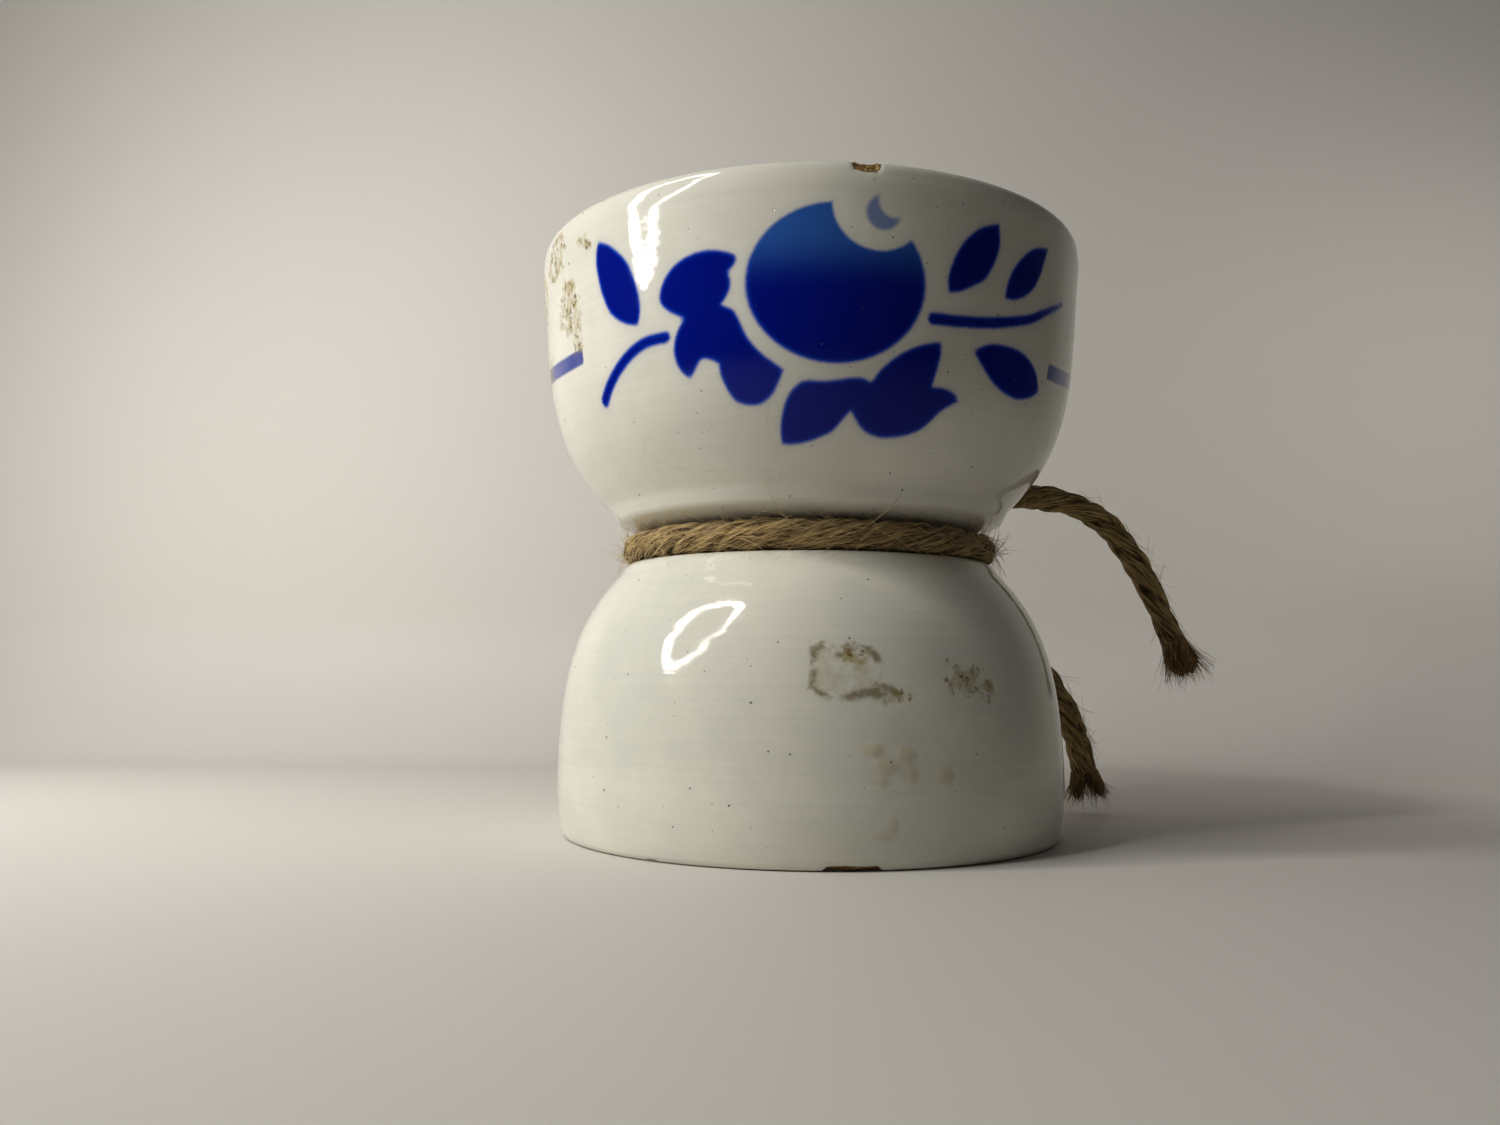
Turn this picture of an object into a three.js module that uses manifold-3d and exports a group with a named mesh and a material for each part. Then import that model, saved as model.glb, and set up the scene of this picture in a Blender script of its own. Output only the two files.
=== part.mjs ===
// A pair of handleless glazed bowls standing foot to foot, with a jute rope tied round the waist
// between their feet. Millimetres, +Z up, origin at the middle of the lower bowl's rim on the table.
import * as THREE from 'three';
import { mergeVertices } from 'three/addons/utils/BufferGeometryUtils.js';
import Module from 'manifold-3d';

// ---- Driving sizes -------------------------------------------------------------------------------

const GAP = 0.3;                 // clearance between pieces that touch on the real object
const LOWER_HEIGHT = 62.35;      // lower bowl, rim to foot
const UPPER_HEIGHT = 66.15;      // upper bowl, foot to rim
const FOOT_RADIUS = 35.5;        // outside of both foot rings, which stand on each other
const ROPE_DIAMETER = 6;
const ROPE_PLAY = 0.5;           // between the rope's turn and the foot ring that it lies round
const KNOT_ANGLE = 48;           // degrees from +X towards +Y: where the rope is tied
const TAKE_OFF_ANGLE = 36;       // degrees either side of the knot where the rope leaves the groove
const LAY_SLACK = 0.05;          // between the two parts of the rope inside the knot

// Each bowl is drawn in its own frame: r from the axis, h from the foot's standing edge to the rim.
const LOWER = {
  height: LOWER_HEIGHT,
  wall: 4,
  floor: 5,
  footRadius: FOOT_RADIUS,
  footHeight: 3.35,              // foot ring, standing edge to shoulder
  footWidth: 5.5,                // thickness of the foot ring
  wellDepth: 2.5,                // hollow inside the foot ring
  shoulderOverhang: 5.8,         // from the foot ring out to the edge where the wall begins
  shoulderRise: 0,
  bellyStart: { dr: 1.7, dh: 2.65 },             // from the shoulder edge
  belly: { radius: 56 },                         // the widest line
  bellyBelowRim: 11.95,                          // from the rim down to the widest line
  bellyLeave: { angle: 45, pull: 14.3 },         // degrees from level, and handle length
  bellyArrive: { angle: 89.4, pull: 21.1 },
  rimInset: 1.1,                                 // the rim is this much narrower than the belly
  lip: { rounding: 1.2, flat: 1.6 },             // this rim is ground flat, because it stands on it
};

const UPPER = {
  height: UPPER_HEIGHT,
  wall: 4,
  floor: 5,
  footRadius: FOOT_RADIUS,
  footWidth: 5.5,
  wellDepth: 2.5,
  shoulderOverhang: 8,
  shoulderRise: 2.8,             // the underside slopes up from the foot ring to the shoulder edge
  bellyStart: { dr: 1.6, dh: 3.1 },
  belly: { radius: 61.3 },
  bellyBelowRim: 4.75,
  bellyLeave: { angle: 42.4, pull: 20.7 },
  bellyArrive: { angle: 84.5, pull: 23.9 },
  rimInset: 0.2,
  lip: { rounding: 1.7, flat: 0 },
};

// ---- What follows from them ----------------------------------------------------------------------

for (const bowl of [LOWER, UPPER]) {
  bowl.shoulderRadius = bowl.footRadius + bowl.shoulderOverhang;
  bowl.rimRadius = bowl.belly.radius - bowl.rimInset;
  bowl.belly.height = bowl.height - bowl.bellyBelowRim;
}
const ROPE_RADIUS = ROPE_DIAMETER / 2;
const LOWER_FOOT_Z = LOWER.height;
const UPPER_FOOT_Z = LOWER_FOOT_Z + GAP;
const SHOULDER_Z = LOWER_FOOT_Z - LOWER.footHeight;
const ROPE_Z = SHOULDER_Z + GAP + ROPE_RADIUS;   // the rope lies on the lower bowl's shoulder
const TURN_RADIUS = FOOT_RADIUS + ROPE_PLAY + ROPE_RADIUS;
UPPER.footHeight = ROPE_Z + ROPE_RADIUS + GAP - UPPER_FOOT_Z;   // the underside clears the rope

// The knot's twisted pair is two ropes thick and clears both shoulder edges.
const TWIST_RADIUS = ROPE_RADIUS + LAY_SLACK;
const KNOT_REACH = TWIST_RADIUS + ROPE_RADIUS + GAP;

function twistClearance(edgeRadius, edgeZ) {
  const rise = Math.abs(edgeZ - ROPE_Z);
  return edgeRadius + Math.sqrt(Math.max(0, KNOT_REACH ** 2 - rise ** 2));
}

const KNOT_RADIUS = Math.max(
  twistClearance(LOWER.shoulderRadius, SHOULDER_Z),
  twistClearance(UPPER.shoulderRadius, UPPER_FOOT_Z + UPPER.footHeight + UPPER.shoulderRise),
);

// ---- Free ends of the rope, chosen by hand -------------------------------------------------------
// Each row is one point of the rope's middle line: x, y and z from where it leaves the knot.

const LONG_TAIL = [
  [2.7, 0.3, 5.6], [6.3, 0.6, 8.4], [10.5, 1, 10.1], [15.4, 1.5, 10.9], [20.9, 1.9, 11.2],
  [27.4, 1.9, 10.3], [33.8, 1.9, 8.2], [39.6, 1.9, 4.5], [44.4, 1.9, -0.9], [48.6, 1.9, -7.4],
  [52, 1.9, -14.6], [55, 1.9, -21.6], [57.3, 1.9, -27.2],
];
const SHORT_TAIL = [
  [1.8, 0.2, -5.6], [6.2, 0, -8.4], [12, -0.6, -10.9], [18, -1.4, -14.4], [23.2, -2.2, -19.4],
  [27, -3.1, -25.8], [29.6, -3.8, -32.6], [31.2, -4.4, -38.8], [31.9, -4.7, -43.3],
];

// ---- Materials -----------------------------------------------------------------------------------

const glaze = new THREE.MeshStandardMaterial({ color: 0xe9e6dc, roughness: 0.18, metalness: 0 });
const agedGlaze = new THREE.MeshStandardMaterial({ color: 0xdfe1dc, roughness: 0.22, metalness: 0 });
const jute = new THREE.MeshStandardMaterial({ color: 0x9a7746, roughness: 0.9, metalness: 0 });
const juteFray = new THREE.MeshStandardMaterial({ color: 0xa5834f, roughness: 0.95, metalness: 0 });

// ---- Bowls ---------------------------------------------------------------------------------------

const ROUND_SEGMENTS = 48;
const BELLY_STEPS = 9;
const LIP_STEPS = 3;

const polar = (degrees, length) => new THREE.Vector2(
  length * Math.cos(THREE.MathUtils.degToRad(degrees)),
  length * Math.sin(THREE.MathUtils.degToRad(degrees)),
);

/** The wall's outside, from the shoulder up to its widest line, as one cubic curve. */
function bellyCurve(bowl) {
  const start = new THREE.Vector2(
    bowl.shoulderRadius + bowl.bellyStart.dr,
    bowl.footHeight + bowl.shoulderRise + bowl.bellyStart.dh,
  );
  const end = new THREE.Vector2(bowl.belly.radius, bowl.belly.height);
  return new THREE.CubicBezierCurve(
    start,
    start.clone().add(polar(bowl.bellyLeave.angle, bowl.bellyLeave.pull)),
    end.clone().sub(polar(bowl.bellyArrive.angle, bowl.bellyArrive.pull)),
    end,
  );
}

/** The wall's inside: the belly moved in by the wall, down to where it nears the inner floor. */
function innerWall(bowl, belly, floorHeight) {
  const points = [];
  for (let step = BELLY_STEPS; step >= 0; step -= 1) {
    const t = step / BELLY_STEPS;
    const tangent = belly.getTangent(t);
    const point = belly.getPoint(t).add(new THREE.Vector2(-tangent.y, tangent.x).multiplyScalar(bowl.wall));
    if (point.y < floorHeight + bowl.floor) {
      break;
    }
    points.push(point);
  }
  return points;
}

/** Points of a rounded corner that turns from one straight line to the next. */
function roundedCorner(from, corner, to, steps = LIP_STEPS) {
  return new THREE.QuadraticBezierCurve(from, corner, to).getPoints(steps);
}

/** The bowl's closed section, from the inner floor's middle round the rim to the foot well's middle. */
function bowlSection(bowl) {
  const floorHeight = bowl.wellDepth + bowl.floor;
  const belly = bellyCurve(bowl);
  const wallPoints = innerWall(bowl, belly, floorHeight).reverse();
  const lowest = wallPoints[0];
  const slope = wallPoints[1].clone().sub(lowest);
  const bend = new THREE.Vector2(lowest.x - (lowest.y - floorHeight) * slope.x / slope.y, floorHeight);
  const floorEdge = new THREE.Vector2(2 * bend.x - lowest.x, floorHeight);
  const { rounding, flat } = bowl.lip;
  const rimInside = bowl.rimRadius - bowl.wall;
  const lipFlat = flat / 2;
  const lipMiddle = (bowl.rimRadius + rimInside) / 2;
  const lipStart = bowl.height - rounding;
  const widest = belly.getPoint(1);
  const hollow = wallPoints[wallPoints.length - 1];
  const turnIn = (widest.y + lipStart) / 2;      // where the wall above the belly turns to the rim
  return [
    new THREE.Vector2(0, floorHeight),
    ...roundedCorner(floorEdge, bend, lowest),
    ...wallPoints.slice(1),
    ...roundedCorner(hollow, new THREE.Vector2(hollow.x, turnIn), new THREE.Vector2(rimInside, lipStart)),
    ...roundedCorner(
      new THREE.Vector2(rimInside, lipStart),
      new THREE.Vector2(rimInside, bowl.height),
      new THREE.Vector2(lipMiddle - lipFlat, bowl.height),
    ),
    ...roundedCorner(
      new THREE.Vector2(lipMiddle + lipFlat, bowl.height),
      new THREE.Vector2(bowl.rimRadius, bowl.height),
      new THREE.Vector2(bowl.rimRadius, lipStart),
    ),
    ...roundedCorner(new THREE.Vector2(bowl.rimRadius, lipStart), new THREE.Vector2(widest.x, turnIn), widest),
    ...belly.getPoints(BELLY_STEPS).reverse(),
    new THREE.Vector2(bowl.shoulderRadius, bowl.footHeight + bowl.shoulderRise),
    new THREE.Vector2(bowl.footRadius + ROPE_PLAY, bowl.footHeight),
    new THREE.Vector2(bowl.footRadius, 0),
    new THREE.Vector2(bowl.footRadius - bowl.footWidth, 0),
    new THREE.Vector2(bowl.footRadius - bowl.footWidth, bowl.wellDepth),
    new THREE.Vector2(0, bowl.wellDepth),
  ].filter((point, index, all) => index === 0 || point.distanceTo(all[index - 1]) > 1e-4);
}

/** A solid of revolution about Z from a section whose order runs round it clockwise. */
function turned(section) {
  const geometry = new THREE.LatheGeometry(section, ROUND_SEGMENTS);
  geometry.rotateX(Math.PI / 2);
  return geometry;
}

/** The upper bowl stands upright on the lower one's foot. */
function upperBowl() {
  const geometry = turned(bowlSection(UPPER).reverse());
  geometry.translate(0, 0, UPPER_FOOT_Z);
  return new THREE.Mesh(geometry, glaze);
}

/** The lower bowl is the same kind of bowl turned over: its rim is down and its foot is up. */
function lowerBowl() {
  const geometry = turned(bowlSection(LOWER).reverse());
  geometry.rotateX(Math.PI);
  geometry.translate(0, 0, LOWER_FOOT_Z);
  return new THREE.Mesh(geometry, agedGlaze);
}

// ---- Rope ----------------------------------------------------------------------------------------

const ROPE_SIDES = 8;
const TURN_STEPS = 40;
const KNOT_STEPS = 28;
const TAIL_STRAIGHT = ROPE_DIAMETER / 3;   // a free end leaves the knot straight for this far

/** A round rope of one thickness along a curve, closed at both ends. */
function ropeAlong(curve, steps, radius = ROPE_RADIUS) {
  const section = new THREE.Shape();
  for (let side = 0; side < ROPE_SIDES; side += 1) {
    const point = polar((360 * side) / ROPE_SIDES, radius);
    if (side === 0) {
      section.moveTo(point.x, point.y);
    } else {
      section.lineTo(point.x, point.y);
    }
  }
  return new THREE.ExtrudeGeometry(section, { steps, bevelEnabled: false, extrudePath: curve });
}

/** The knot's own directions: out from the axis, round the waist, and up. */
const knotAngle = THREE.MathUtils.degToRad(KNOT_ANGLE);
const outward = new THREE.Vector3(Math.cos(knotAngle), Math.sin(knotAngle), 0);
const around = new THREE.Vector3(-Math.sin(knotAngle), Math.cos(knotAngle), 0);

/** A point given by its distance from the axis, along the waist from the knot, and above the rope. */
function atKnot(out, along, up) {
  return new THREE.Vector3(0, 0, ROPE_Z + up).addScaledVector(outward, out).addScaledVector(around, along);
}

/** The part of a circle round the axis that the rope's turn follows, all but the knot's stretch. */
class WaistCurve extends THREE.Curve {
  getPoint(t, target = new THREE.Vector3()) {
    const from = KNOT_ANGLE + TAKE_OFF_ANGLE;
    const angle = THREE.MathUtils.degToRad(from + t * (360 - 2 * TAKE_OFF_ANGLE));
    return target.set(TURN_RADIUS * Math.cos(angle), TURN_RADIUS * Math.sin(angle), ROPE_Z);
  }
}

/** The rope's single turn in the groove between the two feet. */
function waistTurn() {
  return new THREE.Mesh(ropeAlong(new WaistCurve(), TURN_STEPS), jute);
}

/**
 * One half of the knot. It leaves the groove along its tangent, goes under and then over the other
 * half round their common axis, loops back outside that twist, and crosses to the far side.
 * side 1 is the half that ends in the long tail, and side -1 is the same half turned over.
 */
function knotRoute(side) {
  const takeOff = THREE.MathUtils.degToRad(TAKE_OFF_ANGLE);
  const leave = new THREE.Vector2(TURN_RADIUS * Math.cos(takeOff), TURN_RADIUS * Math.sin(takeOff));
  const tangent = new THREE.Vector2(Math.sin(takeOff), -Math.cos(takeOff));
  const crossing = 2 * ROPE_RADIUS;
  const straight = (leave.y - crossing) / Math.cos(takeOff);
  const rows = [0, 0.35, 0.7].map((share) => [
    leave.x + tangent.x * (GAP + share * straight),
    leave.y + tangent.y * (GAP + share * straight),
    0,
  ]);
  for (let quarter = 0; quarter <= 4; quarter += 1) {
    const phase = Math.PI * (1 - quarter / 4);
    rows.push([
      KNOT_RADIUS + TWIST_RADIUS * Math.cos(phase),
      crossing * (1 - quarter / 2),
      TWIST_RADIUS * Math.sin(phase),
    ]);
  }
  const second = KNOT_RADIUS + TWIST_RADIUS + 1.6 * ROPE_RADIUS;
  rows.push([second - 2.6, -3.1 * ROPE_RADIUS, -0.7 * ROPE_RADIUS]);
  rows.push([second, -2.3 * ROPE_RADIUS, -1.5 * ROPE_RADIUS]);
  rows.push([second + 0.2, 0, -1.2 * ROPE_RADIUS]);
  rows.push([second + 2, 1.5 * ROPE_RADIUS, 0]);
  rows.push([second + 3.6, 0.8 * ROPE_RADIUS, 1.6 * ROPE_RADIUS]);
  rows.push([second + 3.4, 0, 3 * ROPE_RADIUS]);
  return rows.map(([out, along, up]) => atKnot(out, side * along, side * up));
}

/** A closed geometry as a solid that can be joined to another. */
function toSolid(wasm, geometry) {
  const bare = geometry.clone();
  bare.deleteAttribute('normal');
  bare.deleteAttribute('uv');
  const merged = mergeVertices(bare, 1e-5);
  return new wasm.Manifold(new wasm.Mesh({
    numProp: 3,
    vertProperties: new Float32Array(merged.attributes.position.array),
    triVerts: new Uint32Array(merged.index.array),
  }));
}

/** A joined solid as a geometry with its own normals. */
function toGeometry(solid) {
  const mesh = solid.getMesh();
  const geometry = new THREE.BufferGeometry();
  geometry.setAttribute('position', new THREE.BufferAttribute(mesh.vertProperties, 3));
  geometry.setIndex(new THREE.BufferAttribute(mesh.triVerts, 1));
  geometry.computeVertexNormals();
  return geometry;
}

/** The knot: both halves of the rope through it, joined because they are pulled tight together. */
function waistKnot(wasm) {
  const halves = [1, -1].map((side) => {
    const route = new THREE.CatmullRomCurve3(knotRoute(side));
    return toSolid(wasm, ropeAlong(route, KNOT_STEPS));
  });
  return new THREE.Mesh(toGeometry(halves[0].add(halves[1])), jute);
}

/** A free end's middle line: it leaves the knot straight, a gap from its cut face, then droops. */
function tailRoute(side, rows) {
  const [before, exit] = knotRoute(side).slice(-2);
  const heading = exit.clone().sub(before).normalize();
  return new THREE.CatmullRomCurve3([
    exit.clone().addScaledVector(heading, GAP),
    exit.clone().addScaledVector(heading, GAP + TAIL_STRAIGHT),
    ...rows.map(([x, y, z]) => exit.clone().add(new THREE.Vector3(x, y, z))),
  ]);
}

/** A free end of the rope, as a plain tube. */
function tail(route, steps) {
  return new THREE.Mesh(ropeAlong(route, steps), jute);
}

/** A blunt cone of loosened rope: it leaves a free end along its heading, turned aside by lean. */
function fray(route, { length, rootRadius, tipRadius, aside, lean }) {
  const sides = 12;
  const heading = route.getTangent(1);
  const sideways = new THREE.Vector3(0, 1, 0).cross(heading).normalize();
  const root = route.getPoint(1).addScaledVector(heading, GAP).addScaledVector(sideways, aside);
  const direction = heading.clone().addScaledVector(sideways, lean).normalize();
  const geometry = new THREE.CylinderGeometry(tipRadius, rootRadius, length, sides);
  geometry.translate(0, length / 2 + rootRadius * Math.abs(lean), 0);
  geometry.applyQuaternion(new THREE.Quaternion().setFromUnitVectors(new THREE.Vector3(0, 1, 0), direction));
  geometry.translate(root.x, root.y, root.z);
  return new THREE.Mesh(geometry, juteFray);
}

// ---- The whole object ----------------------------------------------------------------------------

const wasm = await Module();
wasm.setup();

const longRoute = tailRoute(1, LONG_TAIL);
const shortRoute = tailRoute(-1, SHORT_TAIL);
const splitStrand = { length: 7, rootRadius: 1.4, tipRadius: 2, aside: 1.8, lean: 0.28 };

const pieces = {
  lower_bowl: lowerBowl(),
  upper_bowl: upperBowl(),
  waist_turn: waistTurn(),
  waist_knot: waistKnot(wasm),
  long_tail: tail(longRoute, 26),
  long_tail_fray: fray(longRoute, { length: 10, rootRadius: 3, tipRadius: 5.2, aside: 0, lean: 0 }),
  short_tail: tail(shortRoute, 18),
  short_tail_fray_left: fray(shortRoute, { ...splitStrand, aside: -1.8, lean: -0.28 }),
  short_tail_fray_right: fray(shortRoute, splitStrand),
};

const bowlsAndRope = new THREE.Group();
for (const [name, piece] of Object.entries(pieces)) {
  piece.name = name;
  bowlsAndRope.add(piece);
}

export default bowlsAndRope;
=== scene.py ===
"""Two handleless glazed bowls standing foot to foot, tied round the waist with a jute rope.

The bowls, the rope and its frayed ends are surfaces worked out in millimetres with numpy. They are
put into metres once, when a mesh is made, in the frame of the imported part.
"""

from __future__ import annotations
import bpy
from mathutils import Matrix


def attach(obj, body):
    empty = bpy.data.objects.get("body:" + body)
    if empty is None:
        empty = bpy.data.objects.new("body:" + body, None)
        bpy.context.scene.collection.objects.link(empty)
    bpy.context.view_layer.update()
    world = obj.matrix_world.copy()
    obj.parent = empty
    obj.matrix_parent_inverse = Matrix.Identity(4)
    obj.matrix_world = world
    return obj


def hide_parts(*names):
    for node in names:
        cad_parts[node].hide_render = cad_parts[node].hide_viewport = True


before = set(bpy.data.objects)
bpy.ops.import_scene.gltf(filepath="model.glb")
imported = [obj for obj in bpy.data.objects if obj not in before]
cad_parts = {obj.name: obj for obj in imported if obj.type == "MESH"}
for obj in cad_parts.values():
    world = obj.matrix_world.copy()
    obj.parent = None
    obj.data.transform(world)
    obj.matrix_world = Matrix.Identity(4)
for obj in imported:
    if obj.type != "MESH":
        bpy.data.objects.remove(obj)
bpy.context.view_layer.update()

import logging
import math
from dataclasses import dataclass, field
from enum import Enum

import bpy
import numpy as np
from mathutils import Matrix, Vector

log = logging.getLogger("tied_bowls")

MM = 0.001
UP = Vector((0.0, 0.0, 1.0))
LONG_END_LENGTH = 0.083
SHORT_END_LENGTH = 0.057

Points = np.ndarray
Place = tuple[float, float, float]
Colour = tuple[float, float, float, float]
Outline = tuple[tuple[tuple[float, float], ...], ...]
Socket = bpy.types.NodeSocket


class Slot(Enum):
    """The record's material slots."""

    DECORATED_GLAZE = "decorated_glaze"
    AGED_GLAZE = "aged_glaze"
    ROPE = "rope"
    FRAYED_ROPE = "frayed_rope"


class Body(Enum):
    """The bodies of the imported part."""

    LOWER_BOWL = "lower_bowl"
    UPPER_BOWL = "upper_bowl"
    BINDING = "binding"


# ---- Curves and noise ----------------------------------------------------------------------------


def bezier(handles: list[tuple[float, float]], steps: int) -> Points:
    """Points of a Bezier curve: each handle weighted by its Bernstein polynomial.

    Args:
        handles: The curve's handles, three for a quadratic and four for a cubic.
        steps: Number of stretches.

    Returns:
        Points, (steps + 1, 2).
    """
    t = np.linspace(0.0, 1.0, steps + 1)[:, None]
    last = len(handles) - 1
    weights = [math.comb(last, k) * (1 - t) ** (last - k) * t**k for k in range(last + 1)]
    return sum(weight * np.array(handle) for weight, handle in zip(weights, handles))


def smooth_line(points: Points, steps: int = 12) -> Points:
    """A centripetal Catmull-Rom curve through points.

    Each span is a cubic Hermite curve. Its end slopes come from the neighbouring points, with the
    square root of the distance between two points as the parameter's step.

    Args:
        points: The points that the curve goes through, (n, d).
        steps: Number of stretches in a span.

    Returns:
        Points of the curve, both ends among them.
    """
    p = np.asarray(points, float)
    ends = np.vstack([2 * p[0] - p[1], p, 2 * p[-1] - p[-2]])
    p0, p1, p2, p3 = (ends[k : len(p) - 1 + k, None] for k in range(4))
    d0, d1, d2 = (
        np.linalg.norm(b - a, axis=-1, keepdims=True) ** 0.5
        for a, b in ((p0, p1), (p1, p2), (p2, p3))
    )
    leave = ((p1 - p0) / d0 - (p2 - p0) / (d0 + d1) + (p2 - p1) / d1) * d1
    arrive = ((p2 - p1) / d1 - (p3 - p1) / (d1 + d2) + (p3 - p2) / d2) * d1
    t = np.linspace(0.0, 1.0, steps, endpoint=False)[None, :, None]
    spans = (
        (2 * t**3 - 3 * t**2 + 1) * p1
        + (t**3 - 2 * t**2 + t) * leave
        + (3 * t**2 - 2 * t**3) * p2
        + (t**3 - t**2) * arrive
    )
    return np.vstack([spans.reshape(-1, p.shape[1]), p[-1:]])


def lengths_along(points: Points) -> Points:
    """Distance along a line of points, 0 at its start."""
    steps = np.linalg.norm(np.diff(points, axis=0), axis=1)
    return np.concatenate([[0.0], np.cumsum(steps)])


def at_lengths(points: Points, along: Points, wanted: Points) -> Points:
    """Values of a line at some distances along it, each column by itself."""
    return np.stack([np.interp(wanted, along, column) for column in points.T], axis=1)


def smoothstep(low: float, high: float, value: Points) -> Points:
    """0 below low, 1 above high, and 3t^2 - 2t^3 between them."""
    t = np.clip((value - low) / (high - low), 0.0, 1.0)
    return t * t * (3 - 2 * t)


def lattice_noise(u: Points, v: Points, round_cells: int, seed: int) -> Points:
    """Smooth noise from 0 to 1, from random values at whole numbers of u and v.

    Between four lattice values it blends with 3t^2 - 2t^3, and it repeats in u every round_cells.

    Args:
        u: First coordinate, in cells, round the rope.
        v: Second coordinate, in cells, along it.
        round_cells: Number of cells after which u repeats.
        seed: Seed of the lattice values.

    Returns:
        The noise at each place.
    """
    rows = 1024
    table = np.random.default_rng(seed).random((round_cells, rows))
    cell_u, cell_v = np.floor(u).astype(int), np.floor(v).astype(int)
    blend_u, blend_v = smoothstep(0, 1, u - cell_u), smoothstep(0, 1, v - cell_v)
    here, there = cell_u % round_cells, (cell_u + 1) % round_cells
    low = table[here, cell_v % rows] * (1 - blend_u) + table[there, cell_v % rows] * blend_u
    high = (
        table[here, (cell_v + 1) % rows] * (1 - blend_u)
        + table[there, (cell_v + 1) % rows] * blend_u
    )
    return low * (1 - blend_v) + high * blend_v


# ---- Meshes --------------------------------------------------------------------------------------


def tube_mesh(rings: Points) -> tuple[Points, Points, Points]:
    """Closed tubes from rings of points.

    Ring i of a tube is joined to ring i + 1 by quads, and each end ring to the mean of its own points
    by triangles. If the first tube's signed volume, the sum of a . (b x c) / 6 over its faces, is
    negative, every face is turned round, so that faces point outwards.

    Args:
        rings: Points as (tube, ring, place in the ring, xyz).

    Returns:
        The points (n, 3), the quads (m, 4) and the triangles (k, 3).
    """
    tubes, rows, sides, _ = rings.shape
    ends = rings[:, [0, -1]].mean(axis=2)
    points = np.concatenate([rings.reshape(tubes, -1, 3), ends], axis=1)
    row, side = np.meshgrid(np.arange(rows - 1), np.arange(sides), indexing="ij")
    here, there = row * sides + side, row * sides + (side + 1) % sides
    quads = np.stack([here, there, there + sides, here + sides], axis=-1).reshape(-1, 4)
    place = np.arange(sides)
    following = (place + 1) % sides
    last = (rows - 1) * sides
    root = np.stack([np.full(sides, rows * sides), following, place], axis=-1)
    tip = np.stack([np.full(sides, rows * sides + 1), last + place, last + following], axis=-1)
    triangles = np.vstack([root, tip])
    split = np.vstack([triangles, quads[:, [0, 1, 2]], quads[:, [0, 2, 3]]])
    a, b, c = (points[0][split[:, k]] for k in range(3))
    if np.einsum("ij,ij->", a, np.cross(b, c)) < 0:
        quads, triangles = quads[:, ::-1], triangles[:, ::-1]
    offsets = np.arange(tubes)[:, None, None] * points.shape[1]
    return (
        points.reshape(-1, 3),
        (quads + offsets).reshape(-1, 4),
        (triangles + offsets).reshape(-1, 3),
    )


def tube_values(values: Points) -> Points:
    """Values given on the rings of tubes, in the order of tube_mesh's points.

    Args:
        values: (tube, ring, place in the ring), with a last axis of 3 for vectors.

    Returns:
        Each tube's values in a row, then the means of its two end rings.
    """
    tubes, rows, sides = values.shape[:3]
    kind = values.shape[3:]
    flat = values.reshape(tubes, rows * sides, *kind)
    joined = np.concatenate([flat, values[:, [0, -1]].mean(axis=2)], axis=1)
    return joined.reshape(-1, *kind)


def make_object(name: str, points: Points, faces: list, material: bpy.types.Material) -> bpy.types.Object:
    """Puts points in millimetres into a smooth mesh object at the origin.

    Args:
        name: The object's name.
        points: (n, 3) in millimetres.
        faces: Arrays of faces, each (m, corners).
        material: Its material.

    Returns:
        The new object, linked to the scene.
    """
    mesh = bpy.data.meshes.new(name)
    corners = [face for block in faces for face in block.tolist()]
    mesh.from_pydata((points * MM).tolist(), [], corners)
    mesh.polygons.foreach_set("use_smooth", np.ones(len(mesh.polygons), bool))
    mesh.materials.append(material)
    mesh.update()
    made = bpy.data.objects.new(name, mesh)
    bpy.context.scene.collection.objects.link(made)
    return made


def make_piece(
    name: str,
    rings: Points,
    material: bpy.types.Material,
    body: Body,
    nodes: tuple[str, ...] = (),
    values: dict[str, Points] | None = None,
) -> bpy.types.Object:
    """Makes closed tubes one piece of the object, and ties it to the frame.

    Args:
        name: The piece's name.
        rings: Points as tube_mesh takes them.
        material: Its material.
        body: The body that it rides on.
        nodes: CAD nodes that it stands for.
        values: Point attributes, by name, as tube_values takes them.

    Returns:
        The piece.
    """
    points, quads, triangles = tube_mesh(rings)
    piece = make_object(name, points, [triangles, quads], material)
    for key, value in (values or {}).items():
        kind, socket = ("FLOAT", "value") if value.ndim == 3 else ("FLOAT_VECTOR", "vector")
        attribute = piece.data.attributes.new(key, kind, "POINT")
        attribute.data.foreach_set(socket, tube_values(value).astype(np.float32).ravel())
    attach(piece, body.value)
    if nodes:
        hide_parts(*nodes)
    return piece


# ---- Shader writing ------------------------------------------------------------------------------


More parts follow.
